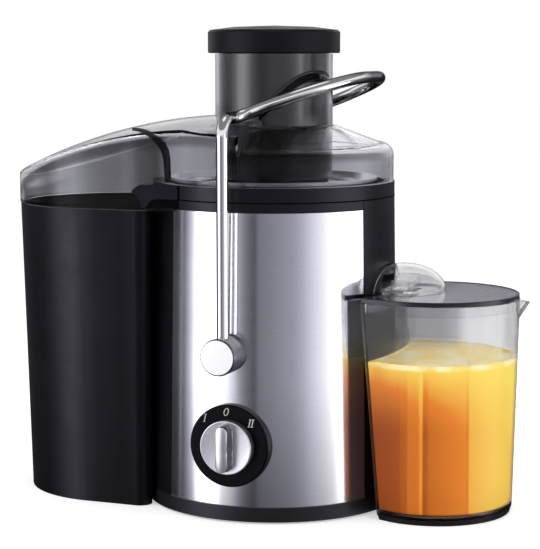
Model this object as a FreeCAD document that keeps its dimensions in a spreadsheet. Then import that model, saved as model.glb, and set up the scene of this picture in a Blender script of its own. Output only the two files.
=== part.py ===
"""Centrifugal juicer: motor body, pulp bin, feed chute, locking arm and juice jug.

Millimetres. +Z is up from the counter, the dial faces -Y, the jug stands at +X and the pulp bin at -X.
Each piece is drawn about the vertical motor axis and then placed at MotorAxisX, so that the origin
lies in the middle of the footprint. Sizes that are given as Y of the front hold for the back too.
"""
import FreeCAD, Part
import Sketcher
import math
import os
import re

doc = FreeCAD.newDocument("Juicer")
sizes = doc.addObject("Spreadsheet::Sheet", "Sizes")

DRIVING_SIZES = [
    ("MotorAxisX", 3.5, "motor axis, from the middle of the footprint"),
    ("RunningGap", 0.05, "radial gap of a pin or shaft in its bore"),
    ("SeatGap", 0.3, "gap between a moving piece and what it rests against"),
    # base and housing
    ("FootHeight", 1.0, "height of a rubber foot below the base"),
    ("FootRadius", 9.0, "radius of a rubber foot"),
    ("BaseVentLength", 50.0, "length of a slot in the base"),
    ("FootInset", 20.0, "middle of a rubber foot, in from the housing's foot"),
    ("PlinthTop", 11.0, "top of the base plinth"),
    ("PlinthStep", 1.0, "how far the plinth stands proud of the housing"),
    ("BasePlate", 2.5, "thickness of the base plate"),
    ("BodyBottomRadius", 88.0, "housing radius at the plinth"),
    ("BodyTopRadius", 84.5, "housing radius at its top edge"),
    ("HousingTop", 214.4, "top edge of the housing"),
    ("HousingWall", 2.6, "housing wall"),
    ("DamperHeight", 13.6, "height of the rubber dampers under the deck"),
    ("DeckThickness", 3.0, "thickness of the deck that carries the motor"),
    ("DeckHole", 15.0, "radius of the hole in the deck for the shaft seal"),
    ("PanelMargin", 6.6, "strip of housing above the steel panel"),
    ("PanelThickness", 0.8, "thickness of the steel panel"),
    ("PanelLeft", 32.5, "degrees from the front to the panel's edge at the bin"),
    ("PanelRight", 65.4, "degrees from the front to the panel's edge at the jug"),
    ("VentWidth", 4.0, "width of a cooling slot"),
    ("VentHeight", 42.0, "height of a cooling slot in the back"),
    ("VentPitch", 9.0, "distance from one cooling slot to the next"),
    ("VentZ", 66.0, "lower end of the cooling slots in the back"),
    ("GlandZ", 32.0, "height of the cord gland"),
    ("GlandBore", 3.6, "radius of the cord gland's bore"),
    ("GlandRadius", 6.5, "radius of the cord gland"),
    ("GlandReach", 5.0, "how far the gland stands out of the housing"),
    # juice bowl
    ("BowlLift", 5.4, "underside of the bowl above the deck"),
    ("BowlWall", 2.4, "bowl wall"),
    ("BowlInset", 5.0, "outside of the bowl, in from the housing's top edge"),
    ("BowlBand", 9.8, "height of the bowl's collar above the housing"),
    ("HubTubeRadius", 16.0, "outer radius of the tube in the bowl's middle"),
    ("HubTubeHeight", 18.0, "height of that tube above the bowl's underside"),
    ("ApronHalfWidth", 34.6, "half the width of the bowl's apron at the jug"),
    ("ApronLift", 1.9, "lower edge of the apron above the deck"),
    ("ApronGap", 0.4, "gap round the apron"),
    ("SpoutHalfWidth", 15.0, "half the width of the spout, outside"),
    ("SpoutLength", 15.0, "how far the spout reaches past the housing's foot"),
    ("SpoutDepth", 7.0, "height of the spout's sides"),
    # feed lid
    ("LidWall", 2.4, "lid wall"),
    ("LidInset", 0.8, "lid radius below the housing's top radius"),
    ("LidSideHeight", 17.5, "straight side of the lid above the bowl's rim"),
    ("LidCornerRadius", 9.0, "rounding from the lid's side to its top"),
    ("LidConeHeight", 39.0, "height of the lid at the chute above the bowl's rim"),
    ("ChannelRise", 45.3, "crest of the raised pulp channel above the bowl's rim"),
    ("ChannelCrestX", 25.0, "crest of the channel, from the motor axis towards the bin"),
    ("ChannelRoofRadius", 330.0, "radius of the channel's arched roof"),
    ("ChannelEnd", 6.0, "where the raised channel ends, past the motor axis"),
    ("ChannelFillet", 3.0, "rounding along the channel's top"),
    ("RibRadius", 91.0, "inner radius of the drip rib in the channel"),
    ("RibThickness", 2.4, "thickness of the drip rib"),
    ("RibDepth", 5.0, "depth of the drip rib"),
    ("ChuteRadius", 41.0, "outer radius of the feed chute"),
    ("ChuteWall", 2.0, "chute wall"),
    ("ChuteRise", 87.8, "top of the chute above the bowl's rim"),
    ("ChuteFoot", 5.8, "lower end of the chute above the bowl's rim"),
    # pusher
    ("CapRadius", 46.0, "radius of the pusher's cap"),
    ("CapHeight", 16.0, "straight height of the cap"),
    ("CapDome", 3.0, "how far the cap's top is domed"),
    ("CapWall", 2.4, "wall of the cap"),
    ("PusherGap", 0.7, "radial gap of the pusher in the chute"),
    ("PusherWall", 2.2, "pusher wall"),
    ("PusherFoot", 11.0, "lower end of the pusher above the basket's floor"),
    # locking arm
    ("PivotZ", 114.3, "height of the arm's pivot"),
    ("RodRadius", 4.0, "radius of the arm's rod"),
    ("RodStandoff", 9.8, "middle of a leg, out from the housing at the pivot"),
    ("RodFoot", 8.0, "how far a leg passes below the pivot"),
    ("ShoulderRise", 45.8, "height of the arm's shoulders above the bowl's rim"),
    ("ShoulderBend", 12.0, "bend radius at the shoulders"),
    ("ShoulderWidth", 27.0, "how far a shoulder brings the rod in over the lid"),
    ("LoopClearance", 29.8, "end of the loop, out from the chute"),
    ("LoopNose", 58.0, "bend radius at the loop's end"),
    ("LoopRise", 20.3, "degrees that the loop rises"),
    ("KnobRadius", 12.5, "radius of a pivot knob"),
    ("KnobLength", 17.2, "length of a pivot knob"),
    ("KnobStandoff", 2.6, "gap between a pivot knob and the housing"),
    ("PinRadius", 4.0, "radius of a pivot pin"),
    ("PinInside", 16.2, "how far a pivot pin reaches in from the housing's outside"),
    ("PinGrip", 2.8, "how far a pivot pin sits in its knob"),
    ("BushRadius", 7.0, "radius of a pivot bush"),
    ("BushFlange", 9.5, "radius of the bush's flange"),
    ("SaddleHalfWidth", 7.0, "half the width of a lid saddle"),
    ("SaddleLength", 16.7, "length of a lid saddle"),
    # interlock
    ("CamRadius", 12.0, "cam radius at the plunger, arm locked"),
    ("CamDrop", 3.5, "what the cam loses per radian of arm travel"),
    ("CamSweep", 62.0, "degrees of cam that the plunger follows"),
    ("CamThickness", 4.0, "thickness of the cam"),
    ("CamInset", 8.2, "front face of the cam, in from the housing's outside"),
    ("PlungerRadius", 2.0, "radius of the interlock plunger"),
    ("PlungerLength", 22.0, "length of the interlock plunger"),
    ("InterlockHeight", 20.0, "height of the interlock switch"),
    ("InterlockWidth", 18.0, "width of the interlock switch"),
    ("InterlockDrop", 20.3, "top of the interlock switch below the pivot"),
    # dial
    ("DialX", 2.0, "dial, from the motor axis"),
    ("DialZ", 52.4, "height of the dial"),
    ("BezelRadius", 28.0, "radius of the dial's bezel"),
    ("BezelStandoff", 3.7, "front of the bezel, out from the housing"),
    ("DialRadius", 18.3, "radius of the dial"),
    ("DialThickness", 7.5, "thickness of the dial's disc"),
    ("GripLength", 31.5, "length of the dial's grip"),
    ("GripWidth", 9.0, "width of the dial's grip"),
    ("GripHeight", 7.0, "how far the grip stands out of the disc"),
    ("DialShaftRadius", 3.0, "radius of the dial's shaft"),
    ("SwitchWidth", 28.0, "width and height of the speed switch"),
    ("SwitchDepth", 18.0, "depth of the speed switch"),
    ("SwitchInset", 8.3, "front of the speed switch, in from the housing's outside"),
    # pulp bin
    ("BinRimDrop", 8.4, "rim of the pulp bin below the housing's top edge"),
    ("BinDepth", 27.2, "straight part of the bin's rim past the housing"),
    ("BinTopRadius", 73.0, "radius of that end at the rim"),
    ("BinFootDepth", 23.7, "straight part of the bin's foot past the housing"),
    ("BinFootRadius", 70.5, "radius of that end at the foot"),
    ("BinWall", 2.2, "bin wall"),
    ("BinFloor", 2.6, "bin floor"),
    ("BinCorner", 8.0, "rounding of the bin's two corners at the housing"),
    ("NestGap", 1.3, "gap between the plinth and the bin or jug beside it"),
    # jug
    ("JugHeadroom", 5.0, "gap from the jug's rim up to the spout"),
    ("JugDepth", 27.7, "centre of the jug's round end past the housing"),
    ("JugTopRadius", 57.5, "radius of the round end at the rim"),
    ("JugFootRadius", 54.0, "radius of the round end at the foot"),
    ("JugRimWrap", 9.8, "how far the rim's corners wrap round the housing"),
    ("JugTopCornerY", 50.5, "corners of the rim, from the middle plane"),
    ("JugFootStep", 2.2, "how far the foot's corners stand off the housing"),
    ("JugFootCornerY", 48.0, "corners of the foot, from the middle plane"),
    ("JugFlare", 2.5, "how far the hollow side leans towards the housing"),
    ("JugWall", 2.0, "jug wall"),
    ("JugFloor", 3.0, "jug floor"),
    ("JugFootHeight", 3.5, "height of the band under the jug"),
    ("JugBandWidth", 9.0, "width of the band under the jug"),
    ("LipLength", 8.5, "how far the pouring lip stands out of the rim"),
    ("LipHalfWidth", 10.0, "half the width of the pouring lip"),
    ("LipDepth", 20.0, "how far down the wall the lip starts"),
    ("JugLidThickness", 3.0, "thickness of the jug's lid"),
    ("SkirtDepth", 7.0, "how far the lid's skirt reaches into the jug"),
    ("HoodGap", 1.8, "gap between the hood's open side and the housing"),
    ("HoodSetback", 7.0, "crest of the hood, back from the spout's tip"),
    ("HoodReach", 28.5, "length of the hood past its crest"),
    ("HoodHalfWidth", 32.0, "half the width of the hood"),
    ("HoodHeight", 19.0, "height of the hood above the jug's lid"),
    ("HoodWall", 1.6, "hood wall"),
    ("SeparatorDepth", 33.0, "froth separator, past the centre of the jug's end"),
    ("SeparatorDrop", 88.0, "how far the separator hangs down in the jug"),
    ("SeparatorThickness", 1.8, "thickness of the separator"),
    # rotor
    ("ShaftRadius", 4.0, "radius of the motor shaft"),
    ("ShaftBottom", 19.0, "lower end of the shaft"),
    ("CouplingRadius", 10.5, "radius of the drive coupling"),
    ("CouplingLift", 6.0, "underside of the drive coupling above the bowl's"),
    ("CouplingHeight", 19.0, "height of the drive coupling"),
    ("BasketLift", 27.0, "underside of the basket's floor above the bowl's"),
    ("BasketFootRadius", 44.0, "radius of the basket's floor"),
    ("BasketClearance", 13.5, "mesh at the rim, in from the bowl's outside"),
    ("BasketRimDrop", 3.2, "upper edge of the mesh below the bowl's rim"),
    ("MeshThickness", 0.8, "thickness of the mesh"),
    ("RimClearance", 7.0, "basket's rim, in from the bowl's outside"),
    ("RimHeight", 6.0, "height of the basket's rim"),
    ("DiscThickness", 1.2, "thickness of the grater disc"),
    ("ToothRadius", 1.6, "radius of a grater tooth at its foot"),
    ("ToothTip", 0.4, "radius of a grater tooth at its tip"),
    ("HubFlange", 3.0, "thickness of the hub's flange under the basket"),
    ("HubDepth", 7.0, "height of the hub"),
    ("HubWall", 2.0, "wall of the hub's skirt"),
    ("HubClearance", 2.5, "gap from the bowl's tube to the hub's skirt"),
    ("ToothHeight", 1.6, "height of a grater tooth"),
    ("ToothPitch", 8.0, "distance from one ring of teeth to the next"),
    # motor
    ("StackWidth", 70.0, "width of the field stack"),
    ("StackRadius", 42.0, "radius at the field stack's corners"),
    ("StackLift", 12.0, "field stack above the commutator"),
    ("StackHeight", 40.0, "height of the field stack"),
    ("ArmatureRadius", 22.5, "radius of the armature"),
    ("AirGap", 0.6, "gap between armature and field stack"),
    ("CoilHeight", 8.0, "height of an end winding"),
    ("CommutatorRadius", 12.0, "radius of the commutator"),
    ("CommutatorLift", 11.0, "commutator above the lower bracket"),
    ("CommutatorHeight", 12.0, "height of the commutator"),
    ("BrushWidth", 6.0, "width of a carbon brush"),
    ("BrushLength", 15.0, "length of a carbon brush"),
    ("BracketRadius", 44.0, "radius of a motor bracket"),
    ("BracketThickness", 4.0, "thickness of a motor bracket"),
    ("LowerBracket", 23.0, "underside of the lower bracket"),
    ("UpperBracketLift", 7.0, "upper bracket above the fan"),
    ("BearingRadius", 9.5, "outer radius of a bearing"),
    ("BearingHeight", 7.0, "height of a bearing"),
    ("TieRodCircle", 38.5, "radius of the circle of the motor's long screws"),
    ("TieRodRadius", 1.8, "radius of a long screw"),
    ("FanLift", 4.0, "fan above the upper end winding"),
    ("FanRadius", 34.0, "radius of the cooling fan"),
    ("FanHeight", 9.0, "height of the cooling fan"),
    ("SealRadius", 15.0, "radius of the shaft seal"),
    ("BoardWidth", 46.0, "width of the speed board"),
    ("BoardDepth", 24.0, "depth of the speed board"),
    ("BoardLift", 6.0, "speed board above the base plate"),
    ("BoardThickness", 1.6, "thickness of the speed board"),
    ("StandoffRadius", 2.5, "radius of a board standoff"),
    ("StandoffInset", 4.0, "middle of a standoff, in from the board's edges"),
    ("CapacitorWidth", 10.0, "width of the board's capacitor"),
    ("CapacitorDepth", 14.0, "depth of the board's capacitor"),
    ("CapacitorHeight", 11.0, "height of the board's capacitor"),
    ("SinkWidth", 12.0, "width of the board's heat sink"),
    ("SinkDepth", 4.0, "depth of the board's heat sink"),
    ("SinkHeight", 14.0, "height of the board's heat sink"),
    ("BoardY", 50.0, "front edge of the speed board"),
    ("ScrewRadius", 1.6, "radius of a base screw"),
    ("ScrewHeadRadius", 3.4, "radius of a base screw's head"),
    ("ScrewPostRadius", 4.0, "radius of a screw post"),
    ("ScrewGrip", 10.0, "how deep a base screw sits in the housing"),
    ("ScrewInset", 6.0, "middle of a base screw, in from the housing's foot"),
]

# Places and sizes that follow from the driving ones.
DERIVED_SIZES = [
    ("FootCircle", "BodyBottomRadius - FootInset", "radius of the circle that the feet stand on"),
    ("PlinthRadius", "BodyBottomRadius + PlinthStep", "radius of the base plinth"),
    ("CommutatorBottom", "LowerBracket + CommutatorLift", "underside of the commutator"),
    ("StackBottom", "CommutatorBottom + CommutatorHeight + StackLift", "underside of the field stack"),
    ("FanBottom", "StackBottom + StackHeight + CoilHeight + FanLift", "underside of the cooling fan"),
    ("UpperBracket", "FanBottom + FanHeight + UpperBracketLift", "underside of the upper bracket"),
    ("DeckBottom", "UpperBracket + BracketThickness + DamperHeight", "underside of the deck"),
    ("PanelTop", "HousingTop - PanelMargin", "top edge of the steel panel"),
    ("BowlFloor", "DeckBottom + DeckThickness + BowlLift", "underside of the bowl"),
    ("BowlRadius", "BodyTopRadius - BowlInset", "outer radius of the bowl inside the housing"),
    ("ApronBottom", "DeckBottom + DeckThickness + ApronLift", "lower edge of the apron"),
    ("SpoutReach", "BodyBottomRadius + SpoutLength", "tip of the spout, from the motor axis"),
    ("ChannelTop", "HousingTop + BowlBand + ChannelRise", "crest of the raised pulp channel"),
    ("ChuteTop", "HousingTop + BowlBand + ChuteRise", "top of the chute"),
    ("ChuteBottom", "HousingTop + BowlBand + ChuteFoot", "lower end of the chute inside the lid"),
    ("BasketBottom", "BowlFloor + BasketLift", "underside of the basket's floor"),
    ("PusherBottom", "BasketBottom + PusherFoot", "lower end of the pusher"),
    ("PivotBodyRadius",
     "BodyBottomRadius + (BodyTopRadius - BodyBottomRadius) * "
     "(PivotZ - PlinthTop) / (HousingTop - PlinthTop)",
     "housing radius at the arm's pivot"),
    ("RodY", "PivotBodyRadius + RodStandoff", "distance of the arm's legs from the middle plane"),
    ("ShoulderZ", "HousingTop + BowlBand + ShoulderRise", "height of the arm's shoulders"),
    ("LoopHalfWidth", "RodY - ShoulderWidth", "half the width of the arm's loop"),
    ("LoopReach", "ChuteRadius + LoopClearance", "end of the loop, from the motor axis"),
    ("KnobBack", "PivotBodyRadius + KnobStandoff", "distance of a knob's back from the middle plane"),
    ("KnobFace", "KnobBack + KnobLength", "distance of a knob's face from the middle plane"),
    ("PinInnerEnd", "PivotBodyRadius - PinInside", "inner end of a pivot pin"),
    ("PinOuterEnd", "KnobBack + PinGrip", "outer end of a pivot pin, inside its knob"),
    ("SaddleInner", "BodyTopRadius - LidInset - 1 - SaddleLength", "inner end of a lid saddle"),
    ("CamY", "PivotBodyRadius - CamInset", "front face of the cam, from the middle plane"),
    ("InterlockTop", "PivotZ - InterlockDrop", "top of the interlock switch"),
    ("DialBodyRadius",
     "BodyBottomRadius + (BodyTopRadius - BodyBottomRadius) * "
     "(DialZ - PlinthTop) / (HousingTop - PlinthTop)",
     "housing radius at the dial"),
    ("BezelFront", "DialBodyRadius + BezelStandoff", "front of the bezel"),
    ("SwitchFront", "DialBodyRadius - SwitchInset", "front of the speed switch"),
    ("BinTop", "HousingTop - BinRimDrop", "rim of the pulp bin"),
    ("NestRadius", "max(PlinthRadius; BodyTopRadius) + NestGap",
     "radius that the bin and the jug close up to"),
    ("BinEndX", "NestRadius + BinDepth", "centre of the bin's round end at the rim"),
    ("BinFootX", "NestRadius + BinFootDepth", "centre of the bin's round end at the foot"),
    ("JugTop", "BowlFloor - JugHeadroom", "rim of the jug"),
    ("JugEndX", "NestRadius + JugDepth", "centre of the jug's round end"),
    ("JugTopCornerX", "NestRadius - JugRimWrap", "corners of the rim at the housing"),
    ("JugFootCornerX", "NestRadius + JugFootStep", "corners of the foot at the housing"),
    ("LipReach", "JugEndX + JugTopRadius + LipLength", "tip of the pouring lip, from the motor axis"),
    ("HoodCrestX", "SpoutReach - HoodSetback", "crest of the hood, from the motor axis"),
    ("SeparatorX", "JugEndX + SeparatorDepth", "froth separator, from the motor axis"),
    ("CouplingBottom", "BowlFloor + CouplingLift", "underside of the drive coupling"),
    ("BasketTopRadius", "BowlRadius - BasketClearance", "radius of the mesh at the rim"),
    ("BasketTop", "HousingTop + BowlBand - BasketRimDrop", "upper edge of the mesh"),
    ("RimRadius", "BowlRadius - RimClearance", "outer radius of the basket's rim"),
    ("ScrewCircle", "BodyBottomRadius - ScrewInset", "radius of the circle of the base screws"),
]

rows = [(alias, str(value), meaning) for alias, value, meaning in DRIVING_SIZES]
rows += [(alias, "=" + formula, meaning) for alias, formula, meaning in DERIVED_SIZES]
for row, (alias, content, meaning) in enumerate(rows, start=1):
    sizes.set(f"A{row}", meaning)
    sizes.setAlias(f"B{row}", alias)
    sizes.set(f"B{row}", content)
doc.recompute()

# Places worked out from the driving sizes, as expressions of their aliases.
PLATE_TOP = "(FootHeight + BasePlate)"
BODY_SLOPE = "((BodyTopRadius - BodyBottomRadius) / (HousingTop - PlinthTop))"
DECK_TOP = "(DeckBottom + DeckThickness)"
BOWL_RIM = "(HousingTop + BowlBand)"
LID_RADIUS = "(BodyTopRadius - LidInset)"
LID_FOOT = f"({BOWL_RIM} + 0.1)"
CONE_TOP = f"({BOWL_RIM} + LidConeHeight)"
CHANNEL_FOOT = "(BinTop + 2 * SeatGap)"
FAR = "(4 * BodyBottomRadius)"
CAP_BOTTOM = "(ChuteTop + SeatGap)"
PUSHER_RADIUS = "(ChuteRadius - ChuteWall - PusherGap)"
JUG_LID_BOTTOM = "(JugTop + SeatGap)"
JUG_LID_TOP = f"({JUG_LID_BOTTOM} + JugLidThickness)"
BUSH_BORE = "(PinRadius + RunningGap)"
UPPER_BRACKET_TOP = "(UpperBracket + BracketThickness)"
STACK_TOP = "(StackBottom + StackHeight)"

X_AXIS = FreeCAD.Vector(1, 0, 0)
Y_AXIS = FreeCAD.Vector(0, 1, 0)
Z_AXIS = FreeCAD.Vector(0, 0, 1)
TURNS = {
    "Z": FreeCAD.Rotation(),
    "X": FreeCAD.Rotation(Y_AXIS, 90),
    "Y": FreeCAD.Rotation(X_AXIS, -90),
    "-Y": FreeCAD.Rotation(X_AXIS, 90),
}
sub_parts = {}
own_x = {}


def bound(expression):
    """The expression as an object other than the sheet reads it."""
    return re.sub(r"\b([A-Z][A-Za-z]+)\b", r"Sizes.\1", str(expression))


def size(expression):
    """The value of an expression of the sheet's aliases."""
    return float(sizes.evalExpression(str(expression)))


def body_radius(z):
    """The housing's outer radius at a height, as an expression."""
    return f"(BodyBottomRadius + {BODY_SLOPE} * (({z}) - PlinthTop))"


def place(thing, x=0, y=0, z=0, turn=None):
    """Bind an object's place to the sheet."""
    if turn is not None:
        thing.Placement = FreeCAD.Placement(FreeCAD.Vector(), turn)
    own_x[thing.Name] = x
    for letter, expression in zip("xyz", (x, y, z)):
        thing.setExpression(f"Placement.Base.{letter}", bound(expression))
    return thing


def cylinder(radius, height, x=0, y=0, z=0, along="Z"):
    thing = doc.addObject("Part::Cylinder", "Cylinder")
    thing.setExpression("Radius", bound(radius))
    thing.setExpression("Height", bound(height))
    return place(thing, x, y, z, TURNS[along])


def cone(foot_radius, top_radius, height, z=0):
    thing = doc.addObject("Part::Cone", "Cone")
    thing.setExpression("Radius1", bound(foot_radius))
    thing.setExpression("Radius2", bound(top_radius))
    thing.setExpression("Height", bound(height))
    return place(thing, 0, 0, z)


def box(low_x, low_y, low_z, long_x, long_y, long_z):
    thing = doc.addObject("Part::Box", "Box")
    thing.setExpression("Length", bound(long_x))
    thing.setExpression("Width", bound(long_y))
    thing.setExpression("Height", bound(long_z))
    return place(thing, low_x, low_y, low_z)


def wide_box(half_x, low_y, low_z, long_y, long_z, x=0):
    """A box that is centred on x."""
    return box(f"{x} - ({half_x})", low_y, low_z, f"2 * ({half_x})", long_y, long_z)


def turned(thing, degrees):
    """The object turned about the motor axis by plain degrees."""
    copy = doc.addObject("Part::Compound", "Turned")
    copy.Links = [thing]
    copy.Placement = FreeCAD.Placement(FreeCAD.Vector(), FreeCAD.Rotation(Z_AXIS, degrees))
    return copy


def cut(base, *tools):
    thing = base
    for tool in tools:
        result = doc.addObject("Part::Cut", "Cut")
        result.Base = thing
        result.Tool = tool
        thing = result
    return thing


def fuse(*things):
    thing = doc.addObject("Part::MultiFuse", "Fuse")
    thing.Shapes = list(things)
    return thing


def common(first, second):
    thing = doc.addObject("Part::MultiCommon", "Common")
    thing.Shapes = [first, second]
    return thing


def group(things):
    """Separate solids that share one node."""
    thing = doc.addObject("Part::Compound", "Group")
    thing.Links = list(things)
    return thing


def ring(outer, inner, height, z=0):
    return cut(cylinder(outer, height, z=z), cylinder(inner, height, z=z))


def sketch_profile(body, role, points):
    """A closed outline whose corners are bound to the sheet, on one of the body's origin planes."""
    sketch = body.newObject("Sketcher::SketchObject", "Profile")
    plane = [feature for feature in body.Origin.OriginFeatures if feature.Role == role][0]
    sketch.AttachmentSupport = [(plane, "")]
    sketch.MapMode = "FlatFace"
    spots = [FreeCAD.Vector(size(across), size(up), 0) for across, up in points]
    count = len(spots)
    for index in range(count):
        sketch.addGeometry(Part.LineSegment(spots[index], spots[(index + 1) % count]))
    for index in range(count):
        sketch.addConstraint(Sketcher.Constraint("Coincident", index, 2, (index + 1) % count, 1))
    for index, (across, up) in enumerate(points):
        for kind, value, expression in (
            ("DistanceX", spots[index].x, across),
            ("DistanceY", spots[index].y, up),
        ):
            number = sketch.addConstraint(Sketcher.Constraint(kind, -1, 1, index, 1, value))
            sketch.setExpression(f"Constraints[{number}]", bound(expression))
    return sketch


def revolved(points, angle=None, middle=None):
    """A body turned about the motor axis: corners are (radius, height). With an angle, a sector of it."""
    body = doc.addObject("PartDesign::Body", "Body")
    sketch = sketch_profile(body, "XZ_Plane", points)
    turn = body.newObject("PartDesign::Revolution", "Revolution")
    turn.Profile = sketch
    turn.ReferenceAxis = (sketch, ["V_Axis"])
    turn.Angle = 360
    if angle is not None:
        turn.Midplane = True
        turn.setExpression("Angle", bound(angle))
        body.Placement = FreeCAD.Placement(FreeCAD.Vector(), FreeCAD.Rotation(Z_AXIS, size(middle)))
    return body


def shaped(shape):
    """An object that holds a shape made by Part's own functions."""
    thing = doc.addObject("Part::Feature", "Shaped")
    thing.Shape = shape
    return thing


def sub_part(label, thing):
    """Name a finished piece and set it at the motor axis."""
    thing.Label = label
    x = own_x.get(thing.Name, 0)
    thing.setExpression("Placement.Base.x", bound(f"MotorAxisX + ({x})"))
    sub_parts[label] = thing


def on_circle(radius, degrees):
    """X and Y of a point on a circle about the motor axis, as expressions."""
    return (f"{radius} * cos({degrees})", f"{radius} * sin({degrees})")


# ---------------------------------------------------------------- base and housing
FOOT_ANGLES = (45, 135, 225, 315)
SCREW_ANGLES = (0, 90, 180, 270)


def make_base():
    plinth = revolved([
        ("PlinthRadius", "FootHeight"),
        ("PlinthRadius", "PlinthTop"),
        ("BodyBottomRadius - HousingWall", "PlinthTop"),
        ("BodyBottomRadius - HousingWall", PLATE_TOP),
        (0, PLATE_TOP),
        (0, "FootHeight"),
    ])
    slots = []
    for step in range(-3, 4):
        slots.append(wide_box("VentWidth / 2", "-BaseVentLength / 2", 0, "BaseVentLength", PLATE_TOP,
                              x=f"{step} * VentPitch"))
    posts = []
    screw_holes = []
    for degrees in SCREW_ANGLES:
        x, y = on_circle("ScrewCircle", degrees)
        posts.append(cylinder("ScrewPostRadius", f"PlinthTop - {PLATE_TOP}", x=x, y=y, z=PLATE_TOP))
        screw_holes.append(cylinder("ScrewRadius", "PlinthTop", x=x, y=y))
    sub_part("base_cover", cut(fuse(plinth, *posts), *slots, *screw_holes))

    feet = []
    for degrees in FOOT_ANGLES:
        x, y = on_circle("FootCircle", degrees)
        feet.append(cylinder("FootRadius", "FootHeight", x=x, y=y))
    sub_part("rubber_feet", group(feet))

    screws = []
    for degrees in SCREW_ANGLES:
        x, y = on_circle("ScrewCircle", degrees)
        head = cylinder("ScrewHeadRadius", "FootHeight / 2", x=x, y=y, z="FootHeight / 2")
        stem = cylinder("ScrewRadius", "PlinthTop - FootHeight + ScrewGrip", x=x, y=y, z="FootHeight")
        screws.append(fuse(head, stem))
    sub_part("base_screws", group(screws))


def panel_profile(clearance):
    foot = "PlinthTop"
    return [
        (f"{body_radius(foot)} - PanelThickness", foot),
        (f"{body_radius(foot)} + {clearance}", foot),
        (f"{body_radius('PanelTop')} + {clearance}", "PanelTop"),
        (f"{body_radius('PanelTop')} - PanelThickness", "PanelTop"),
    ]


def panel_sector(clearance):
    return revolved(panel_profile(clearance), "PanelLeft + PanelRight", "(PanelRight - PanelLeft) / 2 - 90")


def body_solid():
    """The space that the housing's outer surface encloses."""
    return cone("BodyBottomRadius", "BodyTopRadius", "HousingTop - PlinthTop", z="PlinthTop")


def cross_hole(radius, z, x=0, front=True, back=True):
    """Holes through the front and back walls."""
    holes = []
    start = "3 * BodyBottomRadius / 4"
    if front:
        holes.append(cylinder(radius, "BodyBottomRadius", x=x, y=f"-{start}", z=z, along="-Y"))
    if back:
        holes.append(cylinder(radius, "BodyBottomRadius", x=x, y=start, z=z, along="Y"))
    return holes


def make_housing():
    inner_foot = f"{body_radius('PlinthTop')} - HousingWall"
    inner_deck_bottom = f"{body_radius('DeckBottom')} - HousingWall"
    inner_deck_top = f"{body_radius(DECK_TOP)} - HousingWall"
    shell = revolved([
        (body_radius("PlinthTop"), "PlinthTop"),
        (body_radius(DECK_TOP), DECK_TOP),
        (inner_deck_top, DECK_TOP),
        (inner_foot, "PlinthTop"),
    ])
    deck = revolved([
        ("DeckHole", "DeckBottom"),
        (inner_deck_bottom, "DeckBottom"),
        (inner_deck_top, DECK_TOP),
        ("DeckHole", DECK_TOP),
    ])
    sub_part("motor_deck", deck)
    switch_pad = wide_box("SwitchWidth / 2", "-SwitchFront - SwitchDepth", "DialZ - SwitchWidth / 2",
                          "SwitchDepth", "SwitchWidth", x="DialX")
    interlock_pad = wide_box("InterlockWidth / 2", "-CamY - 2 - InterlockHeight",
                             "InterlockTop - InterlockHeight", "InterlockHeight", "InterlockHeight")
    posts = []
    screw_holes = []
    for degrees in SCREW_ANGLES:
        x, y = on_circle("ScrewCircle", degrees)
        posts.append(cylinder("ScrewPostRadius", "ScrewGrip + 2", x=x, y=y, z="PlinthTop"))
        screw_holes.append(cylinder("ScrewRadius", "ScrewGrip", x=x, y=y, z="PlinthTop"))
    walls = fuse(shell, *posts, common(fuse(switch_pad, interlock_pad), body_solid()))
    notch = wide_box("BodyBottomRadius / 2", "-ApronHalfWidth - ApronGap", "ApronBottom - ApronGap",
                     "2 * (ApronHalfWidth + ApronGap)", "HousingTop - ApronBottom + 2 * ApronGap",
                     x="BodyBottomRadius")
    vents = []
    for step in range(-3, 4):
        vents.append(wide_box("VentWidth / 2", "BodyBottomRadius / 2", "VentZ - VentHeight / 2",
                              "BodyBottomRadius", "VentHeight", x=f"{step} * VentPitch"))
    holes = cross_hole("BushRadius", "PivotZ")
    holes += cross_hole("DialShaftRadius + 1", "DialZ", x="DialX", back=False)
    holes += cross_hole("GlandRadius", "GlandZ", front=False)
    sub_part("motor_housing", cut(walls, panel_sector(1), *vents, *holes, *screw_holes))

    surround = revolved([
        (body_radius(DECK_TOP), DECK_TOP),
        (body_radius("HousingTop"), "HousingTop"),
        (f"{body_radius('HousingTop')} - HousingWall", "HousingTop"),
        (inner_deck_top, DECK_TOP),
    ])
    sub_part("bowl_surround", cut(surround, panel_sector(1), notch))

    panel = cut(panel_sector(0), *cross_hole("BushRadius", "PivotZ", back=False),
                *cross_hole("DialShaftRadius + 1", "DialZ", x="DialX", back=False))
    sub_part("steel_front_panel", panel)


def make_cord_gland():
    wall_y = body_radius("GlandZ")
    sleeve = cylinder("GlandRadius", "HousingWall + GlandReach + 2", y=f"{wall_y} - HousingWall - 2",
                      z="GlandZ", along="Y")
    flange = cylinder("GlandRadius + 2.5", "GlandReach / 2", y=f"{wall_y} + SeatGap", z="GlandZ", along="Y")
    bore = cylinder("GlandBore", "BodyBottomRadius", y="BodyBottomRadius / 2", z="GlandZ", along="Y")
    sub_part("cord_gland", cut(fuse(sleeve, flange), bore))


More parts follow.
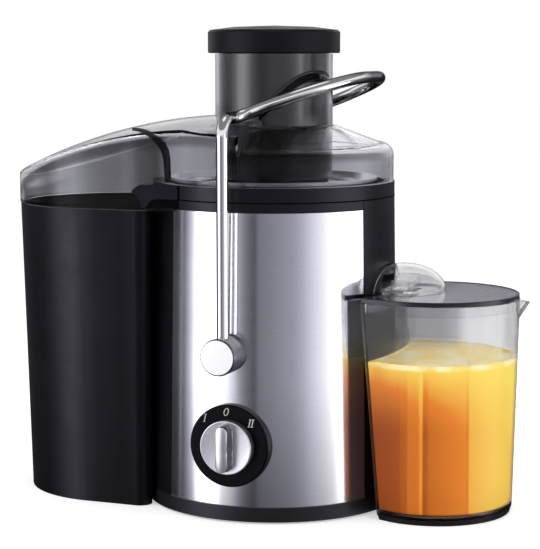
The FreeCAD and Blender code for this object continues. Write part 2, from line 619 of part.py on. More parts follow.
# ---------------------------------------------------------------- juice bowl
def make_bowl():
    tube_bore = "HubTubeRadius - BowlWall"
    tube_top = "BowlFloor + HubTubeHeight"
    floor_top = "BowlFloor + BowlWall"
    inner = "BowlRadius - BowlWall"
    walls = revolved([
        ("BowlRadius", "BowlFloor"),
        ("BowlRadius", "HousingTop"),
        ("BodyTopRadius", "HousingTop"),
        ("BodyTopRadius", BOWL_RIM),
        (inner, BOWL_RIM),
        (inner, "BowlFloor"),
    ])
    floor = revolved([
        (tube_bore, "BowlFloor"),
        (inner, "BowlFloor"),
        (inner, floor_top),
        ("HubTubeRadius", floor_top),
        ("HubTubeRadius", tube_top),
        (tube_bore, tube_top),
    ])
    sub_part("bowl_floor", floor)

    apron_ring = revolved([
        (f"{body_radius('ApronBottom')} - BowlWall", "ApronBottom"),
        (body_radius("ApronBottom"), "ApronBottom"),
        (body_radius("HousingTop"), "HousingTop"),
        ("BowlRadius", "HousingTop"),
        ("BowlRadius", "HousingTop - BowlWall"),
        (f"{body_radius('HousingTop')} - BowlWall", "HousingTop - BowlWall"),
    ])
    apron_window = wide_box("BodyBottomRadius / 2", "-ApronHalfWidth", "ApronBottom",
                            "2 * ApronHalfWidth", "HousingTop - ApronBottom", x="BodyBottomRadius")
    spout_start = "BowlRadius - 2 * BowlWall"
    spout = box(spout_start, "-SpoutHalfWidth", "BowlFloor",
                f"SpoutReach - ({spout_start})", "2 * SpoutHalfWidth", "SpoutDepth")
    groove = box("BowlRadius - 8 * BowlWall", "BowlWall - SpoutHalfWidth", floor_top,
                 "SpoutReach", "2 * (SpoutHalfWidth - BowlWall)", "SpoutDepth")
    bowl_space = cylinder("BowlRadius", "SpoutDepth", z="BowlFloor")
    sub_part("juice_bowl", cut(walls, groove))
    sub_part("juice_spout", cut(spout, bowl_space, groove))
    sub_part("bowl_apron", cut(common(apron_ring, apron_window), spout, groove))


def make_shaft_seal():
    body = ring("SealRadius", "ShaftRadius + RunningGap", "DeckThickness", z="DeckBottom")
    lip = ring("SealRadius - 5", "ShaftRadius + RunningGap", "2", z=DECK_TOP)
    sub_part("shaft_seal", fuse(body, lip))


# ---------------------------------------------------------------- feed lid
def stadium(radius, centre_x, low, high):
    """An upright block with a round end towards the bin and straight sides up to the motor axis."""
    end = Part.makeCylinder(radius, high - low, FreeCAD.Vector(-centre_x, 0, low))
    middle = Part.makeBox(centre_x, 2 * radius, high - low, FreeCAD.Vector(-centre_x, -radius, low))
    return end.fuse(middle).removeSplitter()


def arched(block, inset):
    """The block under the channel's arched roof."""
    roof = size("ChannelRoofRadius") - inset
    centre = FreeCAD.Vector(-size("ChannelCrestX"), 0, size("ChannelTop - ChannelRoofRadius"))
    ball = Part.makeSphere(roof, centre)
    level = Part.makeCylinder(roof, size("BodyBottomRadius"), centre, X_AXIS)
    return block.common(ball.fuse(level))


def rounded_top(block, radius, lowest, beyond_x):
    """The block with the edges round its top rounded, but not those at the plane x = beyond_x."""
    edges = []
    for edge in block.Edges:
        box_of = edge.BoundBox
        upright = box_of.ZLength > 0.9 * edge.Length
        flat_end = box_of.XLength < 0.01
        if box_of.ZMin > lowest and not upright and not flat_end and box_of.XMin < beyond_x:
            edges.append(edge)
    return block.makeFillet(radius, edges)


def channel_space(inset):
    """The raised channel over the bin, shrunk by inset all round."""
    top = size("ChannelTop + ChannelFillet")
    low = size(CHANNEL_FOOT)
    end_x = size("ChannelEnd") - inset
    fillet = max(size("ChannelFillet") - inset, 1)
    over_bin = arched(stadium(size("BinTopRadius") + 0.5 - inset, size("BinEndX"), low, top), inset)
    over_bin = rounded_top(over_bin, fillet, low + 1, -1)
    lid_foot = size(LID_FOOT)
    disc = Part.makeCylinder(size(LID_RADIUS) - inset, top - lid_foot, FreeCAD.Vector(0, 0, lid_foot))
    far = size(FAR)
    half = Part.makeBox(far, far, far, FreeCAD.Vector(end_x - far, -far / 2, 0))
    over_bowl = rounded_top(arched(disc.common(half), inset), fillet, lid_foot + 1, end_x - 1)
    return over_bin.fuse(over_bowl)


def dome_space(inset):
    """The round dome over the bowl, shrunk by inset all round."""
    radius = size(LID_RADIUS) - inset
    foot = size(LID_FOOT)
    side = foot + size("LidSideHeight")
    corner = size("LidCornerRadius") - inset
    cone_foot = FreeCAD.Vector(radius - corner, 0, side + corner)
    cone_top = FreeCAD.Vector(size("ChuteRadius") - inset, 0, size(CONE_TOP) - inset)
    bend = FreeCAD.Vector(radius - corner + corner * math.cos(math.radians(45)), 0,
                          side + corner * math.sin(math.radians(45)))
    corners = [FreeCAD.Vector(0, 0, foot), FreeCAD.Vector(radius, 0, foot), FreeCAD.Vector(radius, 0, side)]
    edges = [
        Part.LineSegment(corners[0], corners[1]).toShape(),
        Part.LineSegment(corners[1], corners[2]).toShape(),
        Part.Arc(corners[2], bend, cone_foot).toShape(),
        Part.LineSegment(cone_foot, cone_top).toShape(),
        Part.LineSegment(cone_top, FreeCAD.Vector(0, 0, cone_top.z)).toShape(),
        Part.LineSegment(FreeCAD.Vector(0, 0, cone_top.z), corners[0]).toShape(),
    ]
    return Part.Face(Part.Wire(edges)).revolve(FreeCAD.Vector(), Z_AXIS, 360)


def lid_top_solid():
    return dome_space(0).fuse(channel_space(0))


def make_lid():
    wall = size("LidWall")
    outside = lid_top_solid()
    inside = dome_space(wall).fuse(channel_space(wall))
    foot = size(CHANNEL_FOOT)
    low_centre = FreeCAD.Vector(0, 0, foot - 1)
    below = Part.makeCylinder(size("BodyTopRadius") + 0.4, size(LID_FOOT) - foot + 1, low_centre)
    chute_hole = Part.makeCylinder(size("ChuteRadius"), size("ChuteTop"), low_centre)
    sub_part("feed_lid", shaped(outside.cut(inside).cut(below).cut(chute_hole)))
    chute = ring("ChuteRadius", "ChuteRadius - ChuteWall", "ChuteTop - ChuteBottom", z="ChuteBottom")
    sub_part("feed_chute", chute)

    far = size(FAR)

    ring_outer = Part.makeCylinder(size("RibRadius + RibThickness"), far)
    ring_inner = Part.makeCylinder(size("RibRadius"), far)
    gap = wall + 0.05
    rib = channel_space(gap).common(ring_outer.cut(ring_inner)).cut(channel_space(gap + size("RibDepth")))
    rib_low = foot + wall + size("RibDepth")
    rib = rib.cut(Part.makeBox(far, 2 * far, far, FreeCAD.Vector(0, -far, 0)))
    rib = rib.cut(Part.makeBox(2 * far, 2 * far, rib_low, FreeCAD.Vector(-far, -far, 0)))
    sub_part("lid_drip_rib", shaped(max(rib.Solids, key=lambda solid: solid.Volume)))


def make_saddles():
    """The two lugs on the lid that the arm's shoulders close over."""
    half = size("SaddleHalfWidth")
    inner = size("SaddleInner")
    outer = size(LID_RADIUS) - 1
    top = size("ShoulderZ")
    swing = size("ShoulderZ - PivotZ - RodRadius - SeatGap")
    block = Part.makeBox(2 * half, outer - inner, top, FreeCAD.Vector(-half, inner, 0))
    reach = Part.makeCylinder(swing, 2 * outer, FreeCAD.Vector(0, 0, size("PivotZ")), Y_AXIS)
    far = size(FAR)
    lid_side_top = size(f"{LID_FOOT} + LidSideHeight")
    lower_half = Part.makeBox(2 * far, 2 * far, lid_side_top, FreeCAD.Vector(-far, -far, 0))
    lug = block.common(reach).cut(lid_top_solid()).cut(lower_half)
    lug = max(lug.Solids, key=lambda solid: solid.BoundBox.ZMax)
    mirror = lug.mirror(FreeCAD.Vector(), Y_AXIS)
    sub_part("lid_saddles", shaped(Part.makeCompound([lug, mirror])))


# ---------------------------------------------------------------- pusher
def make_pusher():
    top = f"{CAP_BOTTOM} + CapHeight"
    tube_bore = f"{PUSHER_RADIUS} - PusherWall"
    cap = revolved([
        (tube_bore, CAP_BOTTOM),
        ("CapRadius - 0.8", CAP_BOTTOM),
        ("CapRadius", f"{CAP_BOTTOM} + 0.8"),
        ("CapRadius", f"{top} - 1.5"),
        ("CapRadius - 1.5", top),
        ("CapRadius * 0.6", f"{top} + CapDome * 0.7"),
        (0, f"{top} + CapDome"),
        (0, f"{top} + CapDome - CapWall"),
        ("CapRadius * 0.6", f"{top} + CapDome * 0.7 - CapWall"),
        ("CapRadius - CapWall", f"{top} - CapWall"),
        ("CapRadius - CapWall", f"{CAP_BOTTOM} + CapWall"),
        (tube_bore, f"{CAP_BOTTOM} + CapWall"),
    ])
    sub_part("pusher_cap", cap)
    tube = revolved([
        (0, "PusherBottom"),
        (f"{PUSHER_RADIUS} - 2", "PusherBottom"),
        (PUSHER_RADIUS, "PusherBottom + 2"),
        (PUSHER_RADIUS, CAP_BOTTOM),
        (tube_bore, CAP_BOTTOM),
        (tube_bore, "PusherBottom + PusherWall"),
        (0, "PusherBottom + PusherWall"),
    ])
    sub_part("pusher_tube", tube)


# ---------------------------------------------------------------- locking arm
def rounded_path(points, radii):
    """Straight runs joined by tangent arcs: one bend radius for each inner point."""
    edges = []
    start = points[0]
    for index, radius in enumerate(radii, start=1):
        corner = points[index]
        to_last = (start - corner).normalize()
        to_next = (points[index + 1] - corner).normalize()
        half_turn = (math.pi - to_last.getAngle(to_next)) / 2
        reach = radius * math.tan(half_turn)
        first = corner + to_last * reach
        last = corner + to_next * reach
        inward = (to_last + to_next).normalize()
        middle = corner + inward * (radius / math.cos(half_turn) - radius)
        edges.append(Part.LineSegment(start, first).toShape())
        edges.append(Part.Arc(first, middle, last).toShape())
        start = last
    edges.append(Part.LineSegment(start, points[-1]).toShape())
    return Part.Wire(edges)


def bail_path():
    leg_y = size("RodY")
    foot_z = size("PivotZ - RodFoot")
    top_z = size("ShoulderZ")
    run_y = size("LoopHalfWidth")
    reach = size("LoopReach")
    nose_z = top_z + reach * math.tan(math.radians(size("LoopRise")))
    front = [
        FreeCAD.Vector(0, -leg_y, foot_z),
        FreeCAD.Vector(0, -leg_y, top_z),
        FreeCAD.Vector(0, -run_y, top_z),
        FreeCAD.Vector(reach, -run_y, nose_z),
    ]
    back = [FreeCAD.Vector(spot.x, -spot.y, spot.z) for spot in reversed(front)]
    bend = size("ShoulderBend")
    nose = size("LoopNose")
    return rounded_path(front + back, [bend, bend, nose, nose, bend, bend])


def pivot_pin(along, sign):
    length = "PinOuterEnd - PinInnerEnd"
    return cylinder("PinRadius", length, y=f"{sign}PinInnerEnd", z="PivotZ", along=along)


def make_locking_arm():
    path = bail_path()
    disc = Part.Wire(Part.makeCircle(size("RodRadius"), path.Edges[0].Vertexes[0].Point, Z_AXIS))
    sub_part("locking_bail", shaped(path.makePipeShell([disc], True, False)))
    for side, along, sign in (("front", "-Y", "-"), ("rear", "Y", "")):
        body = cylinder("KnobRadius", "KnobFace - KnobBack", y=f"{sign}KnobBack", z="PivotZ", along=along)
        rod_hole = cylinder("RodRadius", "KnobRadius + 2 * RodFoot", y=f"{sign}RodY", z="PivotZ - RodFoot")
        pin_hole = pivot_pin(along, sign)
        edge = doc.addObject("Part::Fillet", "RoundedKnob")
        edge.Base = body
        edge.Edges = [(2, 1.2, 1.2), (3, 1.2, 1.2)]
        sub_part(f"{side}_pivot_knob", cut(edge, rod_hole, pin_hole))
        sub_part(f"{side}_pivot_pin", pivot_pin(along, sign))


def make_pivot_bushes():
    bushes = []
    for along, sign in (("-Y", "-"), ("Y", "")):
        wall = body_radius("PivotZ")
        inner_end = f"({wall} - HousingWall - 4)"
        outer_end = "(KnobBack - SeatGap)"
        sleeve = cylinder("BushRadius", f"{outer_end} - {inner_end}", y=f"{sign}{inner_end}",
                          z="PivotZ", along=along)
        flange = cylinder("BushFlange", f"{outer_end} - {wall} - SeatGap", y=f"{sign}({wall} + SeatGap)",
                          z="PivotZ", along=along)
        bore = cylinder(BUSH_BORE, "KnobBack", y=f"{sign}KnobBack / 2", z="PivotZ", along=along)
        bushes.append(cut(fuse(sleeve, flange), bore))
    sub_part("pivot_bushes", group(bushes))


# ---------------------------------------------------------------- interlock
CAM_STEPS = 12


def make_interlock():
    """The cam on the front pin lets the sprung plunger rise in proportion to the arm's angle."""
    base = size("CamRadius")
    drop = size("CamDrop")
    sweep = math.radians(size("CamSweep"))
    lead = math.radians(10)
    spots = []
    for step in range(CAM_STEPS + 1):
        turn = -lead + (sweep + lead) * step / CAM_STEPS
        radius = base - drop * turn
        spots.append(FreeCAD.Vector(radius * math.sin(turn), 0, -radius * math.cos(turn)))
    working = Part.BSplineCurve()
    working.interpolate(spots)
    low = base - drop * sweep
    away = sweep + (2 * math.pi - sweep - lead) / 2
    far = FreeCAD.Vector(low * math.sin(away), 0, -low * math.cos(away))
    rear = Part.Arc(spots[-1], far, spots[0])
    face = Part.Face(Part.Wire([working.toShape(), rear.toShape()]))
    cam = face.extrude(FreeCAD.Vector(0, size("CamThickness"), 0))
    cam.translate(FreeCAD.Vector(0, -size("CamY"), size("PivotZ")))
    pin_end = FreeCAD.Vector(0, -size(FAR), size("PivotZ"))
    pin = Part.makeCylinder(size("PinRadius"), 2 * size(FAR), pin_end, Y_AXIS)
    sub_part("interlock_cam", shaped(cam.cut(pin)))

    plunger_y = "-(CamY - CamThickness / 2)"
    tip_z = "(PivotZ - CamRadius - SeatGap)"
    stem = cylinder("PlungerRadius", "PlungerLength - PlungerRadius", y=plunger_y,
                    z=f"{tip_z} - PlungerLength")
    tip = doc.addObject("Part::Cone", "Tip")
    tip.setExpression("Radius1", bound("PlungerRadius"))
    tip.setExpression("Radius2", bound("PlungerRadius / 4"))
    tip.setExpression("Height", bound("PlungerRadius"))
    place(tip, 0, plunger_y, f"{tip_z} - PlungerRadius")
    sub_part("interlock_plunger", fuse(stem, tip))

    case = wide_box("InterlockWidth / 2", "-CamY - 2", "InterlockTop - InterlockHeight",
                    "CamThickness + 6", "InterlockHeight")
    bore = cylinder("PlungerRadius + RunningGap", "2 * InterlockHeight", y=plunger_y,
                    z=f"{tip_z} - PlungerLength - 1")
    sub_part("interlock_switch", cut(case, bore))


# ---------------------------------------------------------------- dial
def make_dial():
    depth = "BezelFront - SwitchFront"
    disc = cylinder("BezelRadius", depth, x="DialX", y="-SwitchFront", z="DialZ", along="-Y")
    rounded = doc.addObject("Part::Fillet", "RoundedBezel")
    rounded.Base = disc
    rounded.Edges = [(3, 1.2, 1.2)]
    bore = cylinder("DialShaftRadius + RunningGap", "2 * BezelFront", x="DialX", y=0, z="DialZ", along="-Y")
    sub_part("dial_bezel", cut(rounded, body_solid(), bore))

    back = "(BezelFront + SeatGap)"
    face = f"({back} + DialThickness)"
    plate = cylinder("DialRadius", "DialThickness", x="DialX", y=f"-{back}", z="DialZ", along="-Y")
    rounded_plate = doc.addObject("Part::Fillet", "RoundedDial")
    rounded_plate.Base = plate
    rounded_plate.Edges = [(3, 1.5, 1.5)]
    half_bar = "(GripLength - GripWidth) / 2"
    bar = wide_box("GripWidth / 2", f"-{face} - GripHeight", f"DialZ - {half_bar}", "GripHeight + 1",
                   "GripLength - GripWidth", x="DialX")
    ends = []
    for sign in ("-", "+"):
        ends.append(cylinder("GripWidth / 2", "GripHeight + 1", x="DialX", y=f"-{face} + 1",
                             z=f"DialZ {sign} {half_bar}", along="-Y"))
    shaft_bore = cylinder("DialShaftRadius", "4", x="DialX", y=f"-{back}", z="DialZ", along="-Y")
    sub_part("dial_knob", cut(fuse(rounded_plate, bar, *ends), shaft_bore))
    shaft = cylinder("DialShaftRadius", f"{back} + 4 - SwitchFront + SwitchDepth / 2", x="DialX",
                     y="-SwitchFront + SwitchDepth / 2", z="DialZ", along="-Y")
    sub_part("dial_shaft", shaft)

    case = wide_box("SwitchWidth / 2", "-SwitchFront", "DialZ - SwitchWidth / 2", "SwitchDepth",
                    "SwitchWidth", x="DialX")
    socket = cylinder("DialShaftRadius + RunningGap", "SwitchDepth", x="DialX",
                      y="-SwitchFront + SwitchDepth / 2 + 0.5", z="DialZ", along="-Y")
    sub_part("speed_switch", cut(case, socket))


# ---------------------------------------------------------------- pulp bin
def end_outline(radius, centre_x, z):
    """The outline of the bin's block at one height: a round end and straight sides to the motor axis."""
    far = FreeCAD.Vector(-centre_x - radius, 0, z)
    back = FreeCAD.Vector(-centre_x, radius, z)
    front = FreeCAD.Vector(-centre_x, -radius, z)
    back_end = FreeCAD.Vector(0, radius, z)
    front_end = FreeCAD.Vector(0, -radius, z)
    return Part.Wire([
        Part.Arc(front, far, back).toShape(),
        Part.LineSegment(back, back_end).toShape(),
        Part.LineSegment(back_end, front_end).toShape(),
        Part.LineSegment(front_end, front).toShape(),
    ])


def make_bin():
    top = size("BinTop")
    wall = size("BinWall")
    floor = size("BinFloor")
    foot_outline = end_outline(size("BinFootRadius"), size("BinFootX"), 0)
    rim_outline = end_outline(size("BinTopRadius"), size("BinEndX"), top)
    block = Part.makeLoft([foot_outline, rim_outline], True, True)
    inner_foot = end_outline(size("BinFootRadius") - wall, size("BinFootX"), 0)
    inner_rim = end_outline(size("BinTopRadius") - wall, size("BinEndX"), top)
    space = Part.makeLoft([inner_foot, inner_rim], True, True)
    nest = size("NestRadius")
    corner = size("BinCorner")
    outer = block.cut(Part.makeCylinder(nest, top))
    far = size(FAR)
    under_floor = Part.makeBox(2 * far, 2 * far, floor, FreeCAD.Vector(-far, -far, 0))
    inner = space.cut(Part.makeCylinder(nest + wall, top)).cut(under_floor)
    outer = max(outer.Solids, key=lambda solid: solid.Volume)
    inner = max(inner.Solids, key=lambda solid: solid.Volume)
    outer = outer.makeFillet(corner, nest_corners(outer, nest))
    inner = inner.makeFillet(corner - wall, nest_corners(inner, nest + wall))
    sub_part("pulp_container", shaped(outer.cut(inner)))


def nest_corners(block, nest):
    """The upright edges where the block's straight sides meet the round nest."""
    found = []
    for edge in block.Edges:
        ends = [vertex.Point for vertex in edge.Vertexes]
        upright = len(ends) == 2 and abs(ends[0].z - ends[1].z) > size("BinTop / 4")
        if upright and all(abs(math.hypot(end.x, end.y) - nest) < 0.2 for end in ends):
            found.append(edge)
    return found


# ---------------------------------------------------------------- jug
def jug_outline(height_share, inset, z):
    """The jug's outline, hollow towards the housing, from its foot (0) to its rim (1)."""
    def between(foot, rim):
        return size(foot) + (size(rim) - size(foot)) * height_share

    centre_x = size("JugEndX")
    radius = between("JugFootRadius", "JugTopRadius") - inset
    corner_x = between("JugFootCornerX", "JugTopCornerX") + inset
    corner_y = between("JugFootCornerY", "JugTopCornerY") - inset
    near_x = size("NestRadius") + size("JugFlare") * (0.3 - height_share) + inset
    join = math.radians(105)
    join_x = centre_x + radius * math.cos(join)
    join_y = radius * math.sin(join)
    corner_back = FreeCAD.Vector(corner_x, corner_y, z)
    corner_front = FreeCAD.Vector(corner_x, -corner_y, z)
    join_back = FreeCAD.Vector(join_x, join_y, z)
    join_front = FreeCAD.Vector(join_x, -join_y, z)
    return Part.Wire([
        Part.Arc(corner_back, FreeCAD.Vector(near_x, 0, z), corner_front).toShape(),
        Part.LineSegment(corner_front, join_front).toShape(),
        Part.Arc(join_front, FreeCAD.Vector(centre_x + radius, 0, z), join_back).toShape(),
        Part.LineSegment(join_back, corner_back).toShape(),
    ])


def jug_block(inset, low_share, low, high):
    return Part.makeLoft([jug_outline(low_share, inset, low), jug_outline(1, inset, high)], True, True)


def lip_block(inset):
    """The pouring lip: a wedge that opens from a point on the wall to its full reach at the rim."""
    top = size("JugTop")
    low = top - size("LipDepth") + 2 * inset
    half = size("LipHalfWidth") - inset
    root = size("JugEndX")
    wall_x = root + size("JugTopRadius") - 1 - inset
    tip = size("LipReach") - 1.5 * inset
    rim = [FreeCAD.Vector(root, -half * 2, top), FreeCAD.Vector(wall_x - 2, -half, top),
           FreeCAD.Vector(tip, 0, top), FreeCAD.Vector(wall_x - 2, half, top),
           FreeCAD.Vector(root, half * 2, top)]
    foot = [FreeCAD.Vector(root, -half, low), FreeCAD.Vector(wall_x - 4, -1, low),
            FreeCAD.Vector(wall_x - 3, 0, low), FreeCAD.Vector(wall_x - 4, 1, low),
            FreeCAD.Vector(root, half, low)]
    wires = [Part.makePolygon(ring_points + ring_points[:1]) for ring_points in (foot, rim)]
    return Part.makeLoft(wires, True, True)


def make_jug():
    wall = size("JugWall")
    top = size("JugTop")
    floor = size("JugFloor")
    foot = size("JugFootHeight")
    outer = jug_block(0, foot / top, foot, top).fuse(lip_block(0))
    inner = jug_block(wall, (foot + floor) / top, foot + floor, top).fuse(lip_block(wall))
    sub_part("juice_jug", shaped(outer.cut(inner)))
    band = Part.makeLoft([jug_outline(0, 1.2, 0), jug_outline(foot / top, 0.4, foot)], True, True)
    sub_part("jug_foot_band", shaped(band.cut(jug_block(size("JugBandWidth"), 0, 0, top))))


def hood_space(inset):
    """The upper half of an ellipsoid over the spout."""
    ball = Part.makeSphere(1)
    matrix = FreeCAD.Matrix()
    matrix.scale(size("HoodReach") - inset, size("HoodHalfWidth") - inset, size("HoodHeight") - inset)
    stretched = ball.transformGeometry(matrix)
    far = size(FAR)
    half = stretched.common(Part.makeBox(2 * far, 2 * far, far, FreeCAD.Vector(-far, -far, 0)))
    half.translate(FreeCAD.Vector(size("HoodCrestX"), 0, size(JUG_LID_TOP)))
    return half


def make_jug_lid():
    low = size(JUG_LID_BOTTOM)
    high = size(JUG_LID_TOP)
    wall = size("JugWall")
    skirt_low = low - size("SkirtDepth")
    plate = Part.Face(jug_outline(1, 0.4, low)).extrude(FreeCAD.Vector(0, 0, high - low))
    up = FreeCAD.Vector(0, 0, low - skirt_low)
    skirt_outer = Part.Face(jug_outline(1, wall + 0.7, skirt_low)).extrude(up)
    skirt_inner = Part.Face(jug_outline(1, wall + 2.3, skirt_low)).extrude(up)
    slot_half = size("SpoutHalfWidth") + 1.5
    slot = Part.makeBox(size("SpoutReach") + 1.5, 2 * slot_half, high, FreeCAD.Vector(0, -slot_half, 0))
    at_housing = Part.makeCylinder(size("HoodGap") + size(body_radius(JUG_LID_TOP)), size(FAR))
    hood = hood_space(0).cut(hood_space(size("HoodWall"))).cut(at_housing)
    sub_part("jug_lid", shaped(plate.fuse(skirt_outer.cut(skirt_inner)).cut(slot)))
    sub_part("jug_hood", shaped(hood))

    thickness = size("SeparatorThickness")
    drop = size("SeparatorDrop")
    outlines = [jug_outline(0.3, wall + 3, low - drop), jug_outline(1, wall + 3, low)]
    inside = Part.makeLoft(outlines, True, True)
    far = size(FAR)
    sheet = Part.makeBox(thickness, 2 * far, drop, FreeCAD.Vector(size("SeparatorX"), -far, low - drop))
    sub_part("froth_separator", shaped(sheet.common(inside)))


# ---------------------------------------------------------------- basket and drive
TOOTH_RINGS = 4


def make_basket():
    foot = "BasketBottom"
    sub_part("filter_basket", revolved([
        ("BasketFootRadius", foot),
        ("BasketFootRadius + MeshThickness", foot),
        ("BasketTopRadius + MeshThickness", "BasketTop"),
        ("BasketTopRadius", "BasketTop"),
    ]))
    sub_part("basket_rim", revolved([
        ("BasketTopRadius - 1", "BasketTop"),
        ("RimRadius - 2", "BasketTop"),
        ("RimRadius", "BasketTop + 2"),
        ("RimRadius", "BasketTop + RimHeight"),
        ("RimRadius - 3", "BasketTop + RimHeight"),
        ("BasketTopRadius - 1", "BasketTop + 2"),
    ]))
    teeth = []
    for ring_number in range(TOOTH_RINGS):
        radius = size("CouplingRadius") + (ring_number + 0.5) * size("ToothPitch")
        count = 8 + 4 * ring_number
        for step in range(count):
            angle = 2 * math.pi * step / count
            spot = FreeCAD.Vector(radius * math.cos(angle), radius * math.sin(angle), size(f"{foot} + DiscThickness"))
            tooth = Part.makeCone(size("ToothRadius"), size("ToothTip"), size("ToothHeight"), spot)
            teeth.append(tooth)
    plate = Part.makeCylinder(size("BasketFootRadius"), size("DiscThickness"), FreeCAD.Vector(0, 0, size(foot)))
    sub_part("grater_disc", shaped(plate.multiFuse(teeth)))

    coupling_top = "CouplingBottom + CouplingHeight"
    hub = revolved([
        ("CouplingRadius + RunningGap", foot),
        ("BasketFootRadius + MeshThickness", foot),
        ("BasketFootRadius + MeshThickness", f"{foot} - HubFlange"),
        ("HubTubeRadius + HubClearance + 1.75 * HubWall", f"{foot} - 2 * HubFlange"),
        ("HubTubeRadius + HubClearance + HubWall", "BowlFloor + HubTubeHeight - HubDepth"),
        ("HubTubeRadius + HubClearance", "BowlFloor + HubTubeHeight - HubDepth"),
        ("HubTubeRadius + HubClearance", f"{foot} - HubDepth"),
        ("CouplingRadius + RunningGap", f"{foot} - HubDepth"),
    ])
    sub_part("basket_hub", hub)
    barrel = cylinder("CouplingRadius", "CouplingHeight", z="CouplingBottom")
    shaft_bore = cylinder("ShaftRadius", "CouplingHeight - 6", z="CouplingBottom")
    lugs = []
    for degrees in (0, 120, 240):
        notch = box("CouplingRadius - 2.5", "-1.5", f"{coupling_top} - 5", "4", "3", "6")
        lugs.append(turned(notch, degrees))
    sub_part("drive_coupling", cut(barrel, shaft_bore, *lugs))


# ---------------------------------------------------------------- motor
ROD_ANGLES = (45, 135, 225, 315)


def make_rotor():
    shaft = cylinder("ShaftRadius", "CouplingBottom + CouplingHeight - 6 - ShaftBottom", z="ShaftBottom")
    sub_part("motor_shaft", shaft)
    sub_part("armature_stack", ring("ArmatureRadius", "ShaftRadius", "StackHeight", z="StackBottom"))
    ends = [
        ring("ArmatureRadius - 3", "ShaftRadius", "CoilHeight", z="StackBottom - CoilHeight"),
        ring("ArmatureRadius - 3", "ShaftRadius", "CoilHeight", z=STACK_TOP),
    ]
    sub_part("armature_windings", group(ends))
    sub_part("commutator", ring("CommutatorRadius", "ShaftRadius", "CommutatorHeight", z="CommutatorBottom"))
    fan_disc = ring("FanRadius", "ShaftRadius", "1.6", z="FanBottom")
    fan_hub = ring("ShaftRadius + 5", "ShaftRadius", "FanHeight", z="FanBottom")
    blades = []
    for step in range(9):
        blade = box("ShaftRadius + 4", "-0.8", "FanBottom + 1",
                    "FanRadius - ShaftRadius - 5", "1.6", "FanHeight - 1")
        blades.append(turned(blade, 40 * step))
    sub_part("cooling_fan", fuse(fan_disc, fan_hub, *blades))


def make_stator():
    square = wide_box("StackWidth / 2", "-StackWidth / 2", "StackBottom", "StackWidth", "StackHeight")
    block = common(square, cylinder("StackRadius", "StackHeight", z="StackBottom"))
    bore = cylinder("ArmatureRadius + AirGap", "StackHeight", z="StackBottom")
    rods = []
    rod_holes = []
    for degrees in ROD_ANGLES:
        x, y = on_circle("TieRodCircle", degrees)
        rod_holes.append(cylinder("TieRodRadius", "UpperBracket", x=x, y=y, z="LowerBracket"))
        stem = cylinder("TieRodRadius", f"{UPPER_BRACKET_TOP} - LowerBracket", x=x, y=y, z="LowerBracket")
        head = cylinder("2 * TieRodRadius", "2.5", x=x, y=y, z="LowerBracket - 2.5")
        rods.append(fuse(stem, head))
    sub_part("field_stack", cut(block, bore, *rod_holes))
    sub_part("motor_long_screws", group(rods))
    coil_inner = "ArmatureRadius + AirGap + 1"
    coil_outer = "TieRodCircle - TieRodRadius - 1.5"
    coils = [
        ring(coil_outer, coil_inner, "CoilHeight", z="StackBottom - CoilHeight"),
        ring(coil_outer, coil_inner, "CoilHeight", z=STACK_TOP),
    ]
    sub_part("field_coils", group(coils))

    for label, low, bearing_low in (
        ("lower_motor_bracket", "LowerBracket", "LowerBracket"),
        ("upper_motor_bracket", "UpperBracket", "UpperBracket + BracketThickness - BearingHeight"),
    ):
        plate = cylinder("BracketRadius", "BracketThickness", z=low)
        boss = cylinder("BearingRadius + 2.5", "BearingHeight", z=bearing_low)
        bore = cylinder("BearingRadius", "BearingHeight", z=bearing_low)
        holes = []
        for degrees in ROD_ANGLES:
            x, y = on_circle("TieRodCircle", degrees)
            holes.append(cylinder("TieRodRadius", "BracketThickness", x=x, y=y, z=low))
        sub_part(label, cut(fuse(plate, boss), bore, *holes))
    bearings = [
        ring("BearingRadius", "ShaftRadius + RunningGap", "BearingHeight", z="LowerBracket"),
        ring("BearingRadius", "ShaftRadius + RunningGap", "BearingHeight",
             z="UpperBracket + BracketThickness - BearingHeight"),
    ]
    sub_part("shaft_bearings", group(bearings))

    dampers = []
    for degrees in ROD_ANGLES:
        x, y = on_circle("TieRodCircle", degrees)
        dampers.append(cylinder("2.2 * TieRodRadius", f"DeckBottom - {UPPER_BRACKET_TOP}", x=x, y=y,
                                z=UPPER_BRACKET_TOP))
    sub_part("motor_dampers", group(dampers))


def make_brushes():
    middle = "(CommutatorBottom + CommutatorHeight / 2)"
    brush_foot = f"{middle} - BrushWidth / 2"
    case_foot = "LowerBracket + BracketThickness"
    case_height = f"{middle} + BrushWidth / 2 + 1.5 - LowerBracket - BracketThickness"
    brushes = []
    holders = []
    for degrees in (0, 180):
        start = "CommutatorRadius + SeatGap"
        brush = box(start, "-BrushWidth / 2", brush_foot, "BrushLength", "BrushWidth", "BrushWidth")
        case = box("CommutatorRadius + 4", "-BrushWidth / 2 - 1.5", case_foot,
                   "BrushLength + 4", "BrushWidth + 3", case_height)
        slot = box("0", "-BrushWidth / 2", brush_foot,
                   "CommutatorRadius + BrushLength + 6", "BrushWidth", "BrushWidth")
        brushes.append(turned(brush, degrees))
        holders.append(turned(cut(case, slot), degrees))
    sub_part("carbon_brushes", group(brushes))
    sub_part("brush_holders", group(holders))


